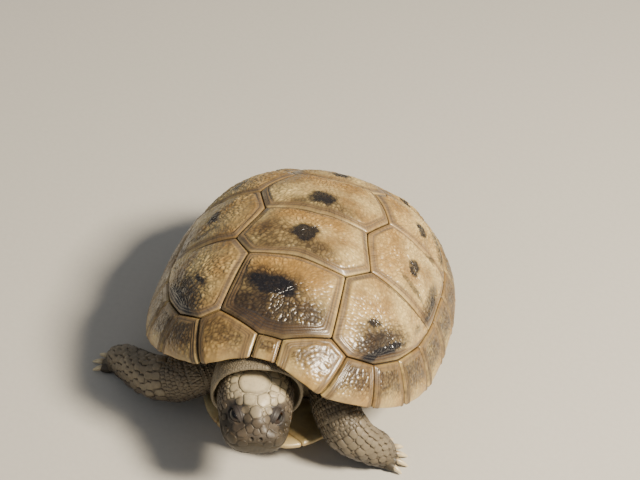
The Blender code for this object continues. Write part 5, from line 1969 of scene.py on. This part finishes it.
limb_scales("foreleg_left", LEG_NUMBER, 1.15, 0.58, unit(np.array([0.25, -0.72, 0.6])), 0.42)
limb_scales("foreleg_right", LEG_NUMBER + 1, 1.25, 0.60, unit(np.array([-0.25, -0.72, 0.6])), 0.36)
limb_scales("hindleg_left", LEG_NUMBER + 2, 1.05, 0.60, REAR_WAY, 0.5)
limb_scales("hindleg_right", LEG_NUMBER + 3, 1.05, 0.60, REAR_WAY, 0.5)

# ------------------------ granules and thigh spurs
# The collar, throat, limb roots and tail bear fine beads of horn, too small to overlap. They are scattered on
# the skin as shallow domes. A blunt cone, the spur of this kind of tortoise, stands on each thigh.

BEAD_SIZE = 0.38


def bead_tree(material):
    """Lays a bead on each point, turned to the skin, and gives it a patch of the bake map."""
    tree = bpy.data.node_groups.new("beads_on_skin", "GeometryNodeTree")
    sockets = (
        ("Geometry", "INPUT", "Geometry"), ("Bead Radius", "INPUT", "Float"),
        ("Bead Height", "INPUT", "Float"), ("Seed", "INPUT", "Int"), ("Geometry", "OUTPUT", "Geometry"),
    )
    for title, way, kind in sockets:
        tree.interface.new_socket(title, in_out=way, socket_type=f"NodeSocket{kind}")

    def vector(title):
        found = add(tree, "GeometryNodeInputNamedAttribute", {"Name": title}, data_type="FLOAT_VECTOR")
        return found.outputs[0]

    def calculated(kind, operation, first, second):
        return add(tree, kind, {0: first, 1: second}, operation=operation).outputs[0]

    given = add(tree, "NodeGroupInput")
    out_way = vector("out")
    root = vector("root")
    bead = add(tree, "GeometryNodeMeshUVSphere", {"Segments": 7, "Rings": 4, "Radius": 1.0})
    turned = add(tree, "FunctionNodeAlignRotationToVector", {"Vector": out_way}, axis="Z")
    chance = {2: 0.82, 3: 1.1, "Seed": given.outputs["Seed"]}
    random = add(tree, "FunctionNodeRandomValue", chance, data_type="FLOAT").outputs[1]
    wide = calculated("ShaderNodeMath", "MULTIPLY", given.outputs["Bead Radius"], random)
    high = calculated("ShaderNodeMath", "MULTIPLY", given.outputs["Bead Height"], random)
    size = add(tree, "ShaderNodeCombineXYZ", {0: wide, 1: wide, 2: high})
    local = add(tree, "GeometryNodeInputPosition")
    kept = {"Geometry": bead.outputs["Mesh"], "Name": "local", "Value": local.outputs[0]}
    kept_place = add(tree, "GeometryNodeStoreNamedAttribute", kept, data_type="FLOAT_VECTOR")
    laid = add(tree, "GeometryNodeInstanceOnPoints", {
        "Points": given.outputs["Geometry"], "Instance": kept_place.outputs[0],
        "Rotation": turned.outputs[0], "Scale": size.outputs[0],
    })
    real = add(tree, "GeometryNodeRealizeInstances", {"Geometry": laid.outputs[0]})
    local_back = vector("local")
    shift = calculated("ShaderNodeVectorMath", "MULTIPLY", local_back, (PATCH / 2, PATCH / 2, 0.0))
    on_map = calculated("ShaderNodeVectorMath", "ADD", root, shift)
    mapped = add(
        tree, "GeometryNodeStoreNamedAttribute",
        {"Geometry": real.outputs[0], "Name": "OFBake", "Value": on_map}, data_type="FLOAT2", domain="CORNER",
    )
    finish = add(tree, "GeometryNodeSetMaterial", {"Geometry": mapped.outputs[0], "Material": material})
    add(tree, "NodeGroupOutput", {"Geometry": finish.outputs[0]})
    return tree


beads = bead_tree(scale_keratin.material)


def granules(name, chosen, radius, high):
    """Beads of horn over the chosen skin points, as one plain mesh."""
    out = calm[chosen]
    root = np.concatenate([map_roots(chosen), np.zeros((len(chosen), 1))], axis=1)
    marks = markings(places[chosen], out, part_of[chosen], is_head[chosen], lids[chosen])
    marks["tone"] = scatter(np.round(places[chosen] * 50).astype(np.int64), 6)[:, 0]
    made = linked(name, mesh_of(name, places[chosen], [], {"out": out, "root": root, **marks}))
    modifier = made.modifiers.new("beads", "NODES")
    modifier.node_group = beads
    sockets = {s.name: s.identifier for s in beads.interface.items_tree if s.in_out == "INPUT"}
    modifier[sockets["Bead Radius"]] = radius * MM
    modifier[sockets["Bead Height"]] = high * MM
    modifier[sockets["Seed"]] = 11
    graph = bpy.context.evaluated_depsgraph_get()
    plain = bpy.data.meshes.new_from_object(made.evaluated_get(graph))
    made.modifiers.clear()
    made.data = plain
    plain.name = name
    for title in ("out", "root", "local"):
        if title in plain.attributes:
            plain.attributes.remove(plain.attributes[title])
    plain.shade_smooth()
    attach(made, "root")


collar = lattice(HEAD_NUMBER, BEAD_SIZE, 4, FIRST_HEAD_RING - 24, seed=7)
throat = lattice(HEAD_NUMBER, 0.5, FIRST_HEAD_RING + 4, len(head_rings) - 8, seed=8)
throat_at = about_head(places[throat])
throat = throat[(throat_at[:, 2] < -2.9) | ((throat_at[:, 2] < -2.0) & (throat_at[:, 0] < 0.5))]
granules("granules_neck", np.concatenate([collar, throat]), 0.18, 0.024)
coat = [lattice(TAIL_NUMBER, 0.5, 2, seed=9)]
for number in range(4):
    bare = int(len(part_rings[LEG_NUMBER + number]) * FOOT_START)
    coat.append(lattice(LEG_NUMBER + number, 0.46, 2, bare, seed=12 + number))
granules("granules_limbs", np.concatenate(coat), 0.21, 0.11)

SPUR_ROWS = 12
SPUR_AROUND = 20
SPUR_LENGTH = 1.5
SPUR_SUNK = 0.25
SPUR_HALF_WIDTH = 0.62


def spur(name, side):
    """A blunt cone on the back of the thigh."""
    base, out, *_ = skin_tree.find_nearest(Vector((side * 10.2, 19.6, 6.4)))
    base = np.array(base)
    out = unit(np.array(out) + np.array([0.25 * side, 0.35, -0.1]))
    share = np.linspace(0, 1, SPUR_ROWS)
    middles = base + out * (share * SPUR_LENGTH - SPUR_SUNK)[:, None]
    middles = middles + np.array([0, 0, -0.12]) * (share**2)[:, None]
    across = unit(np.cross(out, UPWARD))
    up = np.cross(across, out)
    wide = SPUR_HALF_WIDTH * (1 - share**1.4) ** 0.8 + 0.03
    axes = np.tile(across, (SPUR_ROWS, 1)), np.tile(up, (SPUR_ROWS, 1))
    points, faces = horn_tube(oval(middles, *axes, wide, wide, wide, SPUR_AROUND, 2.0))
    turns = np.arange(SPUR_AROUND) / SPUR_AROUND * 2 * np.pi
    lie = np.stack(np.broadcast_arrays(np.cos(turns), np.sin(turns), share[:, None]), axis=-1).reshape(-1, 3)
    values = {
        "lie": np.concatenate([lie, np.zeros((2, 3))]),
        "edge": np.concatenate([np.repeat(share, SPUR_AROUND), [0.0, 1.0]]),
    }
    make_piece(name, points, faces, claw_keratin, values)


spur("spur_left", 1)
spur("spur_right", -1)
